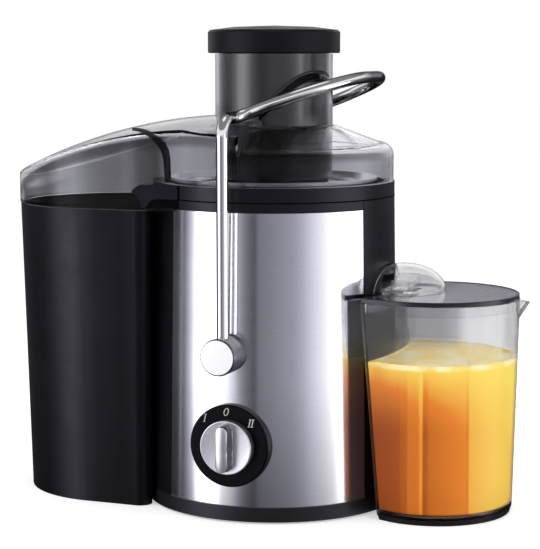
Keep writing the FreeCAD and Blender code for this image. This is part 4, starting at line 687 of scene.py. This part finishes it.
class JUICER_OT_speed_dial(bpy.types.Operator):
    """Finishes the speed dial and prints its marks"""
    bl_idname = "juicer.speed_dial"
    bl_label = "Speed dial"

    def execute(self, context):
        bezel = moulded("bezel_plastic", (0.003, 0.003, 0.004), 0.3, Specular_IOR_Level=0.10)
        # painted shade on the bezel's sides
        paint_side_shade(bezel, (0.0012, 0.0012, 0.0018), 0.3, 0.7)
        dress(bezel, "dial_bezel")
        silver = metal("satin_silver", (0.80, 0.80, 0.86), 0.24, streak_scale=60.0, streak_depth=0.0000002,
                       metallic=0.78)
        # painted shade on the dial's sides
        paint_side_shade(silver, (0.20, 0.20, 0.22), 0.25, 0.6)
        self.turned_dial(silver)
        dress(metal("dial_shaft_steel", (0.5, 0.5, 0.5), 0.3), "dial_shaft")
        self.print_marks(context.scene.juicer_sizes.mark_height)
        return {"FINISHED"}

    def turned_dial(self, material):
        """A dished disc with a crowned grip across it, as heights over a round grid."""
        low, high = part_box("dial_knob")
        middle = (low + high) / 2
        radius = (high.x - low.x) / 2
        back, front = high.y, low.y
        disc, rounding, dish = 0.0058, 0.0007, 0.0009
        half_width, half_length, slope = 0.0045, 0.01575, 0.0009
        crown_across, crown_along = 0.0011, 0.0012
        circles, turns = 76, 220

        def height(x, z):
            out = math.hypot(x, z)
            face = disc - dish * (1 - (out / radius) ** 2)
            if out > radius - rounding:
                round_share = min(1.0, (out - radius + rounding) / rounding)
                face -= rounding * (1 - math.sqrt(max(0.0, 1 - round_share * round_share)))
            run = max(0.0, abs(z) - (half_length - half_width))
            beyond = math.hypot(x, run) - half_width
            on_grip = min(1.0, max(0.0, 0.5 - beyond / slope))
            on_grip = on_grip * on_grip * (3 - 2 * on_grip)
            grip = (back - front) - crown_across * (x / half_width) ** 2 - crown_along * (z / half_length) ** 4
            return face + on_grip * (grip - face)

        rings = []
        for circle in range(1, circles + 1):
            out = radius * circle / circles
            flat = [(out * math.cos(turn), out * math.sin(turn))
                    for turn in (2 * math.pi * index / turns for index in range(turns))]
            rings.append([Vector((middle.x + x, back - height(x, z), middle.z + z)) for x, z in flat])
        rings.append([Vector((point.x, back, point.z)) for point in rings[-1]])
        dial = as_piece("turned_dial", stacked_rings(rings), material, "dial", smooth_angle=50)
        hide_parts("dial_knob")

    def print_marks(self, height):
        """One stroke, a nought and two strokes round the top of the bezel."""
        white = moulded("mark_print", (0.62, 0.62, 0.64), 0.5, grain_scale=600.0, grain_depth=0.000002)
        low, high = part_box("dial_bezel")
        middle = (low + high) / 2
        front = Vector((middle.x, low.y + MARK_SUNK, middle.z))

        def on_ring(degrees, radius):
            angle = math.radians(degrees)
            return front + Vector((radius * math.cos(angle), 0, radius * math.sin(angle)))

        for name, degrees, radius, shifts in STROKE_MARKS:
            place = on_ring(degrees, radius)
            shape = joined([bar(stroke(height, shift * height), place) for shift in shifts])
            as_piece(name, shape, white, "housing")
        place = on_ring(OFF_MARK_ANGLE, OFF_MARK_DISTANCE)
        turns = [2 * math.pi * index / OFF_MARK_POINTS for index in range(OFF_MARK_POINTS)]
        outer, inner = (slanted([(wide * height * math.cos(turn), tall * height * math.sin(turn)) for turn in turns])
                        for wide, tall in (OFF_MARK_OUTER, OFF_MARK_INNER))
        rings = [[place + Vector((x, -depth, z)) for x, z in outline]
                 for depth, outline in ((0, outer), (MARK_RAISED, outer), (MARK_RAISED, inner), (0, inner))]
        nought = stacked_rings(rings, closed_loop=True)
        as_piece("dial_mark_off", nought, white, "housing")


# ---------------------------------------------------------------- bin and jug
# gloss of the bin: distance from the motor's axis in millimetres, specular level
BIN_GLOSS = ((-190, 0.24), (-150, 0.24), (-136, 0.28), (-122, 0.32), (-113, 0.22), (-104, 0.12), (-85, 0.08),
             (-70, 0.16), (-64, 0.30))
# smoke of the jug's lid with painted shade towards the housing under the hood, and painted shade on its front wall
# above the juice: distance from the motor's axis, share of light
JUG_LID_SMOKE_AND_SHADE = ((80, 0.12), (118, 0.15), (134, 0.26), (176, 0.26))
JUG_WALL_SHADE = ((80, 0.92), (92, 0.86), (99, 0.62), (105, 0.36), (118, 0.28), (138, 0.32), (146, 0.46),
                  (153, 0.98), (176, 0.98))
# painted shade: how the jug's wall darkens towards its outline
JUG_OUTLINE_SHADE = ((0, 1.0), (0.78, 1.0), (0.88, 0.45), (1, 0.12))
# the wall that looks at the housing: how far it reaches from the motor's axis and to each side, in metres
HOLLOW_X, HOLLOW_Y = 0.095, 0.048
HOLLOW_TINT, HOLLOW_CLEARNESS = (0.10, 0.10, 0.115), 0.12
# heights over the juice between which the front wall turns to its painted shade, depths under the lid's top between
# which its skirt turns clear, in metres
SHADE_OVER_JUICE, SKIRT_DEPTH = (0.011, 0.021), (0.0036, 0.0026)
CLEAR_WALL, CLEAR_SKIRT = (0.975, 0.975, 0.98), (0.90, 0.90, 0.92)
# section of the dark band round the jug's lid: height about the lid's top, distance inside its outline
LID_EDGE_SECTION = ((-2.7, 0.35), (-0.3, 0.35), (0.25, 0.9), (0.25, 2.2), (0.05, 2.2), (0.05, 1.2), (-2.7, 1.2))


class JUICER_OT_pulp_bin(bpy.types.Operator):
    """Finishes the pulp bin"""
    bl_idname = "juicer.pulp_bin"
    bl_label = "Pulp bin"

    def execute(self, context):
        black = tuple(context.scene.juicer_colours.black_plastic)
        material = moulded("bin_plastic", black, 0.38)
        tree, shader = nodes_of(material)
        gloss = shader.inputs["Specular IOR Level"]
        # a plain level too, for wherever the link is dropped
        gloss.default_value = 0.2
        tree.links.new(level_by(tree, from_axis(tree, place_axes(tree)[0]), BIN_GLOSS), gloss)
        dress(material, "pulp_container")
        return {"FINISHED"}


class JUICER_OT_jug(bpy.types.Operator):
    """Clears the jug, its lid, hood and froth separator"""
    bl_idname = "juicer.jug"
    bl_label = "Juice jug"

    def execute(self, context):
        self.clear_walls(context.scene.juicer_sizes.juice_level)
        self.smoked_lid_painted_light()
        dress(clear_plastic("clear_hood", (0.93, 0.93, 0.95), 0.01), "jug_hood")
        dress(clear_plastic("clear_spout", (0.80, 0.80, 0.82), 0.02, 1.3, Alpha=0.5), "juice_spout")
        dress(clear_plastic("clear_separator", (0.97, 0.97, 0.97), 0.02, 1.2, Alpha=0.25), "froth_separator")
        band = moulded("jug_foot_plastic", (0.012, 0.012, 0.016), 0.3)
        dress(band, "jug_foot_band")
        self.lid_edge(band)
        return {"FINISHED"}

    def clear_walls(self, level):
        """Clear walls with painted shade in dark outlines and in a greyer front above the juice, dark and nearly
        opaque where they look at the housing.
        """
        material = clear_plastic("clear_jug", (0.97, 0.97, 0.98), 0.008, 1.18, Alpha=0.8)
        tree, shader = nodes_of(material)
        x, y, z = place_axes(tree)
        above = times(tree, share(tree, z, *(level + rise for rise in SHADE_OVER_JUICE)),
                      maths(tree, "LESS_THAN", y, 0.0))
        # painted shade on the front wall above the juice
        smoke = table(tree, from_axis(tree, x), JUG_WALL_SHADE, (1, 1, 1.06))
        wall = blend(tree, above, CLEAR_WALL, smoke)
        wall = multiply(tree, wall, table(tree, grazing(tree), JUG_OUTLINE_SHADE))
        at_housing = times(tree, maths(tree, "LESS_THAN", x, AXIS_X + HOLLOW_X),
                           maths(tree, "LESS_THAN", either_way(tree, y), HOLLOW_Y))
        tree.links.new(blend(tree, at_housing, wall, HOLLOW_TINT), shader.inputs["Base Color"])
        tree.links.new(spread(tree, at_housing, 1.0, HOLLOW_CLEARNESS), shader.inputs["Transmission Weight"])
        dress(material, "juice_jug")

    def smoked_lid_painted_light(self):
        """A smoked top over a clear skirt, the top darker towards the housing under the hood as painted shade."""
        material = clear_plastic("smoked_jug_lid", (0.33, 0.33, 0.37), 0.03, 1.3)
        tree, shader = nodes_of(material)
        x, _, z = place_axes(tree)
        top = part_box("jug_lid")[1].z
        smoke = table(tree, from_axis(tree, x), JUG_LID_SMOKE_AND_SHADE, (1, 1, 1.1))
        over_skirt = share(tree, z, *(top - depth for depth in SKIRT_DEPTH))
        tree.links.new(blend(tree, over_skirt, CLEAR_SKIRT, smoke), shader.inputs["Base Color"])
        dress(material, "jug_lid")

    def lid_edge(self, material):
        """A dark band round the edge of the jug's lid."""
        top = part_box("jug_lid")[1].z / MM
        rings = [[spot(x, y, top + rise) for x, y in jug_outline(JUG["rim_z"], inset)]
                 for rise, inset in LID_EDGE_SECTION]
        band = stacked_rings(rings, closed_loop=True)
        as_piece("jug_lid_edge", band, material, "jug_cover")


# ---------------------------------------------------------------- inside
BASKET_STEEL, BASKET_HOLE = (0.62, 0.62, 0.64), (0.03, 0.03, 0.03)


class JUICER_OT_basket(bpy.types.Operator):
    """Finishes the filter basket and what drives it"""
    bl_idname = "juicer.basket"
    bl_label = "Filter basket"

    def execute(self, context):
        sieve, tree, shader = new_finish("basket_mesh", BASKET_STEEL, 0.3, Metallic=1.0)
        holes = tree.nodes.new("ShaderNodeTexVoronoi")
        holes.inputs["Scale"].default_value = 900.0
        tree.links.new(own_place(tree), holes.inputs["Vector"])
        tree.links.new(ramp(tree, holes.outputs["Distance"], [(0.28, BASKET_HOLE), (0.36, BASKET_STEEL)]),
                       shader.inputs["Base Color"])
        bump(tree, shader, holes.outputs["Distance"], 0.00005, 0.5)
        dress(sieve, "filter_basket")
        dress(metal("grater_steel", (0.64, 0.64, 0.66), 0.22, streak_scale=700.0), "grater_disc", "basket_rim")
        dress(moulded("hub_plastic", (0.05, 0.05, 0.055), 0.4), "basket_hub", "drive_coupling")
        return {"FINISHED"}


class JUICER_OT_motor(bpy.types.Operator):
    """Finishes the motor, the switches and the speed board"""
    bl_idname = "juicer.motor"
    bl_label = "Motor"

    def execute(self, context):
        dress(metal("shaft_steel", (0.6, 0.6, 0.6), 0.2), "motor_shaft", "shaft_bearings", "motor_long_screws",
              "base_screws")
        dress(metal("motor_bracket", (0.5, 0.5, 0.5), 0.4), "lower_motor_bracket", "upper_motor_bracket")
        dress(metal("lamination_steel", (0.36, 0.36, 0.37), 0.45, stretch=(0.02, 0.02, 1), streak_scale=2000.0),
              "field_stack", "armature_stack")
        dress(metal("copper_wire", (0.72, 0.30, 0.14), 0.3, streak_scale=900.0), "field_coils",
              "armature_windings", "commutator")
        dress(moulded("carbon", (0.02, 0.02, 0.02), 0.6), "carbon_brushes")
        dress(moulded("brush_holder", (0.12, 0.11, 0.08), 0.5), "brush_holders", "board_standoffs")
        dress(moulded("board_green", (0.02, 0.10, 0.03), 0.4), "speed_board")
        dress(moulded("inner_plastic", (0.10, 0.10, 0.10), 0.5), "cooling_fan", "speed_switch", "interlock_switch")
        return {"FINISHED"}


# ---------------------------------------------------------------- juice
# the jug in millimetres about the motor's axis, at its foot and at its rim: where its hollow side is nearest to
# the housing, the hollow's corners, and the radius of the rounded end about end_x
JUG = {"foot_near": 91.05, "rim_near": 88.55, "end_x": 118.0, "rim_radius": 57.5, "foot_radius": 54.0,
       "rim_corner": (80.5, 50.5), "foot_corner": (92.5, 48.0), "rim_z": 147.0}
# where the rounded end meets the straight sides, in degrees, and the points along hollow, side and end
JUG_JOIN, HOLLOW_POINTS, SIDE_POINTS, END_POINTS = 105, 40, 24, 110
# how light the juice looks across the jug, as painted light and shade of the flutes, darkest at the housing: distance
# from the motor's axis, share of light
FLUTE_LIGHT_AND_SHADE = ((96, 0.03), (109, 0.06), (110, 0.15), (114.5, 0.20), (115, 0.36), (122, 0.40), (123.5, 0.62), (125, 0.58),
          (125.6, 0.10), (128, 0.18), (129.5, 0.30), (140, 0.42), (151.5, 0.56), (152.5, 0.46), (153.5, 0.72),
          (166, 0.84), (171, 0.86), (172, 0.95), (175, 0.97), (177, 0.88))
# the juice's body: height in millimetres, distance inside the jug's outline
JUICE_BODY = ((6.7, 3.6), (7.2, 2.4), (8.5, 1.9), (30, 1.85), (60, 1.85), (90, 1.85))
# its rounded rim: height about its surface, distance inside the outline
JUICE_RIM = ((-2, 1.85), (0.4, 1.85), (1.0, 2.4), (0.3, 3.4), (0, 5.0))
JUICE_SURFACE, JUICE_FROTH = (1.0, 0.66, 0.06), (1.0, 0.88, 0.50)
# heights about the surface, in metres: where the juice lightens upwards, and its line of froth
LIGHTER_UPWARDS, FROTH_LINE = (-0.046, 0.001), (-0.0034, -0.0016)
# how far a face looks up, from side to surface
SIDE_TO_SURFACE = (0.6, 0.9)
# a painted glow: the juice gives off light of its own colour
PAINTED_JUICE_GLOW = 0.20


def arc_through(start, middle, end, count):
    """Points along the arc through three points of the plane, the last left out."""
    (ax, ay), (bx, by), (cx, cy) = start, middle, end
    a_square, b_square, c_square = ax * ax + ay * ay, bx * bx + by * by, cx * cx + cy * cy
    twice = 2 * (ax * (by - cy) + bx * (cy - ay) + cx * (ay - by))
    centre_x = (a_square * (by - cy) + b_square * (cy - ay) + c_square * (ay - by)) / twice
    centre_y = (a_square * (cx - bx) + b_square * (ax - cx) + c_square * (bx - ax)) / twice
    radius = math.hypot(ax - centre_x, ay - centre_y)
    first, through, last = (math.atan2(y - centre_y, x - centre_x) for x, y in (start, middle, end))
    sweep = (last - first) % (2 * math.pi)
    if (through - first) % (2 * math.pi) > sweep:
        sweep -= 2 * math.pi
    angles = [first + sweep * step / count for step in range(count)]
    return [(centre_x + radius * math.cos(angle), centre_y + radius * math.sin(angle)) for angle in angles]


def straight(start, end, count):
    """Points along a straight side, the last left out."""
    return [(start[0] + (end[0] - start[0]) * step / count, start[1] + (end[1] - start[1]) * step / count)
            for step in range(count)]


def jug_outline(z, inset):
    """The jug's outline at a height, millimetres about the motor's axis, hollow towards the housing."""
    def between(foot, rim):
        return foot + (rim - foot) * z / JUG["rim_z"]

    radius = between(JUG["foot_radius"], JUG["rim_radius"]) - inset
    corner_x = between(JUG["foot_corner"][0], JUG["rim_corner"][0]) + inset
    corner_y = between(JUG["foot_corner"][1], JUG["rim_corner"][1]) - inset
    near_x = between(JUG["foot_near"], JUG["rim_near"]) + inset
    join_x = JUG["end_x"] + radius * math.cos(math.radians(JUG_JOIN))
    join_y = radius * math.sin(math.radians(JUG_JOIN))
    outline = arc_through((corner_x, corner_y), (near_x, 0), (corner_x, -corner_y), HOLLOW_POINTS)
    outline += straight((corner_x, -corner_y), (join_x, -join_y), SIDE_POINTS)
    outline += arc_through((join_x, -join_y), (JUG["end_x"] + radius, 0), (join_x, join_y), END_POINTS)
    outline += straight((join_x, join_y), (corner_x, corner_y), SIDE_POINTS)
    return outline


class JUICER_OT_juice(bpy.types.Operator):
    """Fills the jug with orange juice"""
    bl_idname = "juicer.juice"
    bl_label = "Juice"

    def execute(self, context):
        level = context.scene.juicer_sizes.juice_level / MM
        section = JUICE_BODY + tuple((level + rise, inset) for rise, inset in JUICE_RIM)
        rings = [[spot(x, y, z) for x, y in jug_outline(z, inset)] for z, inset in section]
        juice = as_piece("orange_juice", stacked_rings(rings), self.juice_finish(context), "jug", smooth_angle=50)
        return {"FINISHED"}

    def juice_finish(self, context):
        """Juice that deepens towards the housing and the foot, with painted light and shade of the jug's flutes and a
        painted glow.
        """
        colours = context.scene.juicer_colours
        level = context.scene.juicer_sizes.juice_level
        deep, middle, light = (tuple(colour) for colour in (colours.juice_deep, colours.juice_middle,
                                                            colours.juice_light))
        material, tree, shader = new_finish("orange_juice", light, 0.35, Specular_IOR_Level=0.2)
        x, _, z = place_axes(tree)
        # painted light and shade of the flutes
        flute_shading = level_by(tree, from_axis(tree, x), FLUTE_LIGHT_AND_SHADE)
        rise = maths(tree, "POWER", share(tree, z, *(level + rise for rise in LIGHTER_UPWARDS)), 1.4)
        cloud = noise(tree, own_place(tree, (1, 1, 0.4)), 34.0, 3.0)
        lift = times(tree, rise, plus(tree, 0.62, times(tree, cloud, 0.6)))
        amount = plus(tree, flute_shading, times(tree, minus(tree, 1.0, flute_shading), lift))
        body = ramp(tree, amount, [(0.0, deep), (0.55, middle), (1.0, light)])
        body = blend(tree, share(tree, normal_axes(tree)[2], *SIDE_TO_SURFACE), body, JUICE_SURFACE)
        patches = noise(tree, own_place(tree), 55.0, 5.0, 0.6)
        froth = times(tree, share(tree, z, *(level + rise for rise in FROTH_LINE)),
                      spread(tree, patches, 0.20, 0.95, 0.42, 0.58))
        colour = blend(tree, froth, body, JUICE_FROTH)
        tree.links.new(colour, shader.inputs["Base Color"])
        # painted glow in the juice's own colour
        tree.links.new(colour, shader.inputs["Emission Color"])
        shader.inputs["Emission Strength"].default_value = PAINTED_JUICE_GLOW
        bump(tree, shader, patches, 0.0004, 0.4)
        return material


# ---------------------------------------------------------------- the studio
# cards round the juicer: degrees from the front towards the jug, glow
LOW_CARDS = ((-180, 0.10), (-112, 0.10), (-90, 0.05), (-78.5, 0.05), (-74.6, 0.09), (-74, 0.5), (-73, 0.5),
             (-72.2, 0.10), (-69, 0.15), (-64, 0.42), (-57, 0.95), (-53.5, 2.4), (-50, 3.6), (-34, 3.6), (-27, 1.5),
             (-20, 1.1), (-16, 0.8), (-10.5, 0.35), (-5.2, 0.19), (4.8, 0.065), (5.8, 0.20), (20, 0.26),
             (38, 0.36), (46.5, 0.49), (57.3, 0.79), (68, 1.1), (76, 1.5), (84, 3.0), (106, 3.0), (116, 0.3),
             (126, 0.12), (180, 0.10))
HIGH_CARDS = ((-180, 0.3), (-140, 0.3), (-114, 0.8), (-96, 0.3), (-83, 0.12), (-71, 0.36), (-60, 1.25), (-50, 3.1),
              (-41, 3.6), (-32, 2.5), (-23, 1.0), (-15, 0.44), (-7, 0.17), (1, 0.08), (9, 0.21), (17, 0.32),
              (40, 0.37), (48, 0.50), (57, 0.72), (65, 1.3), (73, 2.4), (82, 1.1), (92, 0.9), (101, 0.12), (112, 0.4),
              (124, 0.5), (138, 0.25), (155, 0.8), (170, 0.2), (180, 0.2))
# glow of the ring's top, and the heights in metres over which the low cards turn into the high ones, and those
# into the top
TOP_GLOW, LOW_TO_HIGH, HIGH_TO_TOP = 0.9, (0.17, 0.22), (0.40, 0.55)
# blue of the dim and of the bright cards, against their red and green
DIM_BLUE, BRIGHT_BLUE = 1.14, 1.02
# height of the cards in metres, share of their glow
CARD_FADE = ((-1.0, 0.06), (-0.7, 0.15), (-0.32, 0.45), (-0.12, 1.0), (1.0, 1.0), (1.2, 0.25), (2.0, 0.25))
# radius and height of the ring's edges, and the radii of the floor, in metres
SURROUND_EDGES = ((0.3, -1.0), (1.5, -1.0), (1.5, 1.3), (0.5, 1.95))
FLOOR_RADII, FLOOR_Z = (0.0005, 0.5, 1.0, 2.0, 4.0, 9.0), -0.0002
# soft lamps that look at the middle of the part: name, place, size in metres, power in watts
LAMPS = (("key_lamp", (-1.2, -1.3, 1.5), 1.4, 13.0), ("fill_lamp", (1.6, -0.9, 1.0), 1.2, 8.0),
         ("top_lamp", (0.0, 0.3, 2.0), 1.6, 8.0))
LAMP_TARGET = Vector((0, 0, 0.15))
# strength of the world where it only lights, and the floor's own glow for the camera
WORLD_LIGHT, FLOOR_GLOW = 0.6, 0.45
FLOOR_POINTS, SURROUND_POINTS = 96, 180
# light paths that go through many clear walls, or back and forth between shiny ones
CLEAR_BOUNCES, GLOSSY_BOUNCES = 24, 16


class JUICER_OT_studio(bpy.types.Operator):
    """Sets up the floor, the light and the camera"""
    bl_idname = "juicer.studio"
    bl_label = "Studio"

    def execute(self, context):
        scene = context.scene
        scene.view_settings.view_transform = "Standard"
        scene.cycles.transparent_max_bounces = CLEAR_BOUNCES
        scene.cycles.max_bounces = CLEAR_BOUNCES
        scene.cycles.glossy_bounces = GLOSSY_BOUNCES
        scene.cycles.transmission_bounces = CLEAR_BOUNCES
        self.make_world(scene)
        self.make_floor(scene)
        self.make_surround(scene)
        self.make_lamps(scene)
        self.make_camera(scene)
        return {"FINISHED"}

    def make_world(self, scene):
        """White where it is seen, plainer where it lights."""
        world = bpy.data.worlds.new("studio_world")
        world.use_nodes = True
        scene.world = world
        tree = world.node_tree
        background = tree.nodes["Background"]
        path = tree.nodes.new("ShaderNodeLightPath")
        seen = maths(tree, "MAXIMUM", path.outputs["Is Camera Ray"], path.outputs["Is Glossy Ray"])
        seen = maths(tree, "MAXIMUM", seen, path.outputs["Is Transmission Ray"])
        tree.links.new(spread(tree, seen, WORLD_LIGHT, 1.0), background.inputs["Strength"])
        background.inputs["Color"].default_value = (1, 1, 1, 1)

    def stage_mesh(self, scene, name, rings, material):
        """A piece of the stage from stacked rings, open at the last."""
        points, faces = stacked_rings(rings, cap_last=False)
        mesh = bpy.data.meshes.new(name)
        mesh.from_pydata([tuple(point) for point in points], [], faces)
        mesh.materials.append(material)
        thing = bpy.data.objects.new(name, mesh)
        scene.collection.objects.link(thing)
        return thing

    def make_floor(self, scene):
        """A pale floor that glows a little where the camera sees it."""
        material, tree, shader = new_finish("pale_floor", (0.86, 0.86, 0.87), 0.9)
        path = tree.nodes.new("ShaderNodeLightPath")
        shader.inputs["Emission Color"].default_value = (1, 1, 1, 1)
        glow = spread(tree, path.outputs["Is Camera Ray"], 0.0, FLOOR_GLOW)
        tree.links.new(glow, shader.inputs["Emission Strength"])
        rings = [flat_ring(radius, FLOOR_Z, FLOOR_POINTS) for radius in FLOOR_RADII]
        floor = self.stage_mesh(scene, "studio_floor", rings, material)
        floor.visible_glossy = False

    def make_surround(self, scene):
        """A ring of grey and white card round the juicer that only reflections show."""
        material = bpy.data.materials.new("reflection_cards")
        material.use_nodes = True
        tree = material.node_tree
        tree.nodes.remove(tree.nodes["Principled BSDF"])
        emission = tree.nodes.new("ShaderNodeEmission")
        tree.links.new(emission.outputs["Emission"], tree.nodes["Material Output"].inputs["Surface"])
        x, y, height = place_axes(tree)
        turn = maths(tree, "ARCTAN2", minus(tree, x, AXIS_X), times(tree, y, -1.0))
        low, high = (self.cards(tree, share(tree, turn, -math.pi, math.pi), bands)
                     for bands in (LOW_CARDS, HIGH_CARDS))
        glow = blend(tree, share(tree, height, *LOW_TO_HIGH), low, high)
        glow = blend(tree, share(tree, height, *HIGH_TO_TOP), glow, (TOP_GLOW, TOP_GLOW, TOP_GLOW))
        tree.links.new(glow, emission.inputs["Color"])
        tree.links.new(level_by(tree, height, CARD_FADE), emission.inputs["Strength"])
        rings = [flat_ring(radius, z, SURROUND_POINTS, AXIS_X) for radius, z in SURROUND_EDGES]
        surround = self.stage_mesh(scene, "reflection_surround", rings, material)
        surround.visible_camera = False
        surround.visible_diffuse = False
        surround.visible_transmission = False
        surround.visible_volume_scatter = False
        surround.visible_shadow = False

    def cards(self, tree, turn, bands):
        """One row of cards by angle, the dim ones bluer."""
        return ramp(tree, turn, [((degrees + 180) / 360, (glow, glow, glow * (DIM_BLUE if glow < 1 else BRIGHT_BLUE)))
                                 for degrees, glow in bands])

    def make_lamps(self, scene):
        """Soft round lamps that reflections don't show."""
        for name, place, size, power in LAMPS:
            lamp = bpy.data.lights.new(name, "AREA")
            lamp.shape = "DISK"
            lamp.size = size
            lamp.energy = power
            holder = bpy.data.objects.new(name, lamp)
            holder.location = place
            holder.rotation_mode = "QUATERNION"
            holder.rotation_quaternion = (LAMP_TARGET - Vector(place)).to_track_quat("-Z", "Y")
            holder.visible_glossy = False
            scene.collection.objects.link(holder)

    def make_camera(self, scene):
        """The camera, from the studio's settings."""
        studio = scene.juicer_studio
        camera = bpy.data.cameras.new("studio_camera")
        camera.sensor_fit = "HORIZONTAL"
        camera.sensor_width = 36
        camera.lens = studio.lens
        camera.clip_end = 50
        holder = bpy.data.objects.new("studio_camera", camera)
        holder.location = tuple(studio.camera_place)
        holder.rotation_euler = (math.radians(90 - studio.camera_pitch), 0, math.radians(studio.camera_azimuth))
        scene.collection.objects.link(holder)
        scene.camera = holder


class JUICER_PT_pieces(bpy.types.Panel):
    """Lists the juicer's pieces in the sidebar"""
    bl_idname = "JUICER_PT_pieces"
    bl_label = "Juicer"
    bl_space_type = "VIEW_3D"
    bl_region_type = "UI"
    bl_category = "Juicer"

    def draw(self, context):
        for group in (context.scene.juicer_colours, context.scene.juicer_sizes, context.scene.juicer_studio):
            box = self.layout.box()
            for key in group.__annotations__:
                box.prop(group, key)
        for operator in PIECES:
            self.layout.operator(operator.bl_idname)


PIECES = (JUICER_OT_housing, JUICER_OT_steel_panel, JUICER_OT_feed_lid, JUICER_OT_pusher, JUICER_OT_locking_arm,
          JUICER_OT_speed_dial, JUICER_OT_pulp_bin, JUICER_OT_jug, JUICER_OT_juice, JUICER_OT_basket,
          JUICER_OT_motor, JUICER_OT_studio)
CLASSES = (JuicerColours, JuicerSizes, JuicerStudio) + PIECES + (JUICER_PT_pieces,)


def register():
    """Makes the operators, the panel and the settings known."""
    for kind in CLASSES:
        bpy.utils.register_class(kind)
    bpy.types.Scene.juicer_colours = bpy.props.PointerProperty(type=JuicerColours)
    bpy.types.Scene.juicer_sizes = bpy.props.PointerProperty(type=JuicerSizes)
    bpy.types.Scene.juicer_studio = bpy.props.PointerProperty(type=JuicerStudio)


def unregister():
    """Takes them away again."""
    del bpy.types.Scene.juicer_studio
    del bpy.types.Scene.juicer_sizes
    del bpy.types.Scene.juicer_colours
    for kind in reversed(CLASSES):
        bpy.utils.unregister_class(kind)


def main():
    """Builds every piece in order."""
    register()
    for name in ("Cube", "Light", "Camera"):
        if name in bpy.data.objects:
            bpy.data.objects.remove(bpy.data.objects[name])
    for operator in PIECES:
        group, word = operator.bl_idname.split(".")
        getattr(getattr(bpy.ops, group), word)()


if __name__ == "__main__":
    main()
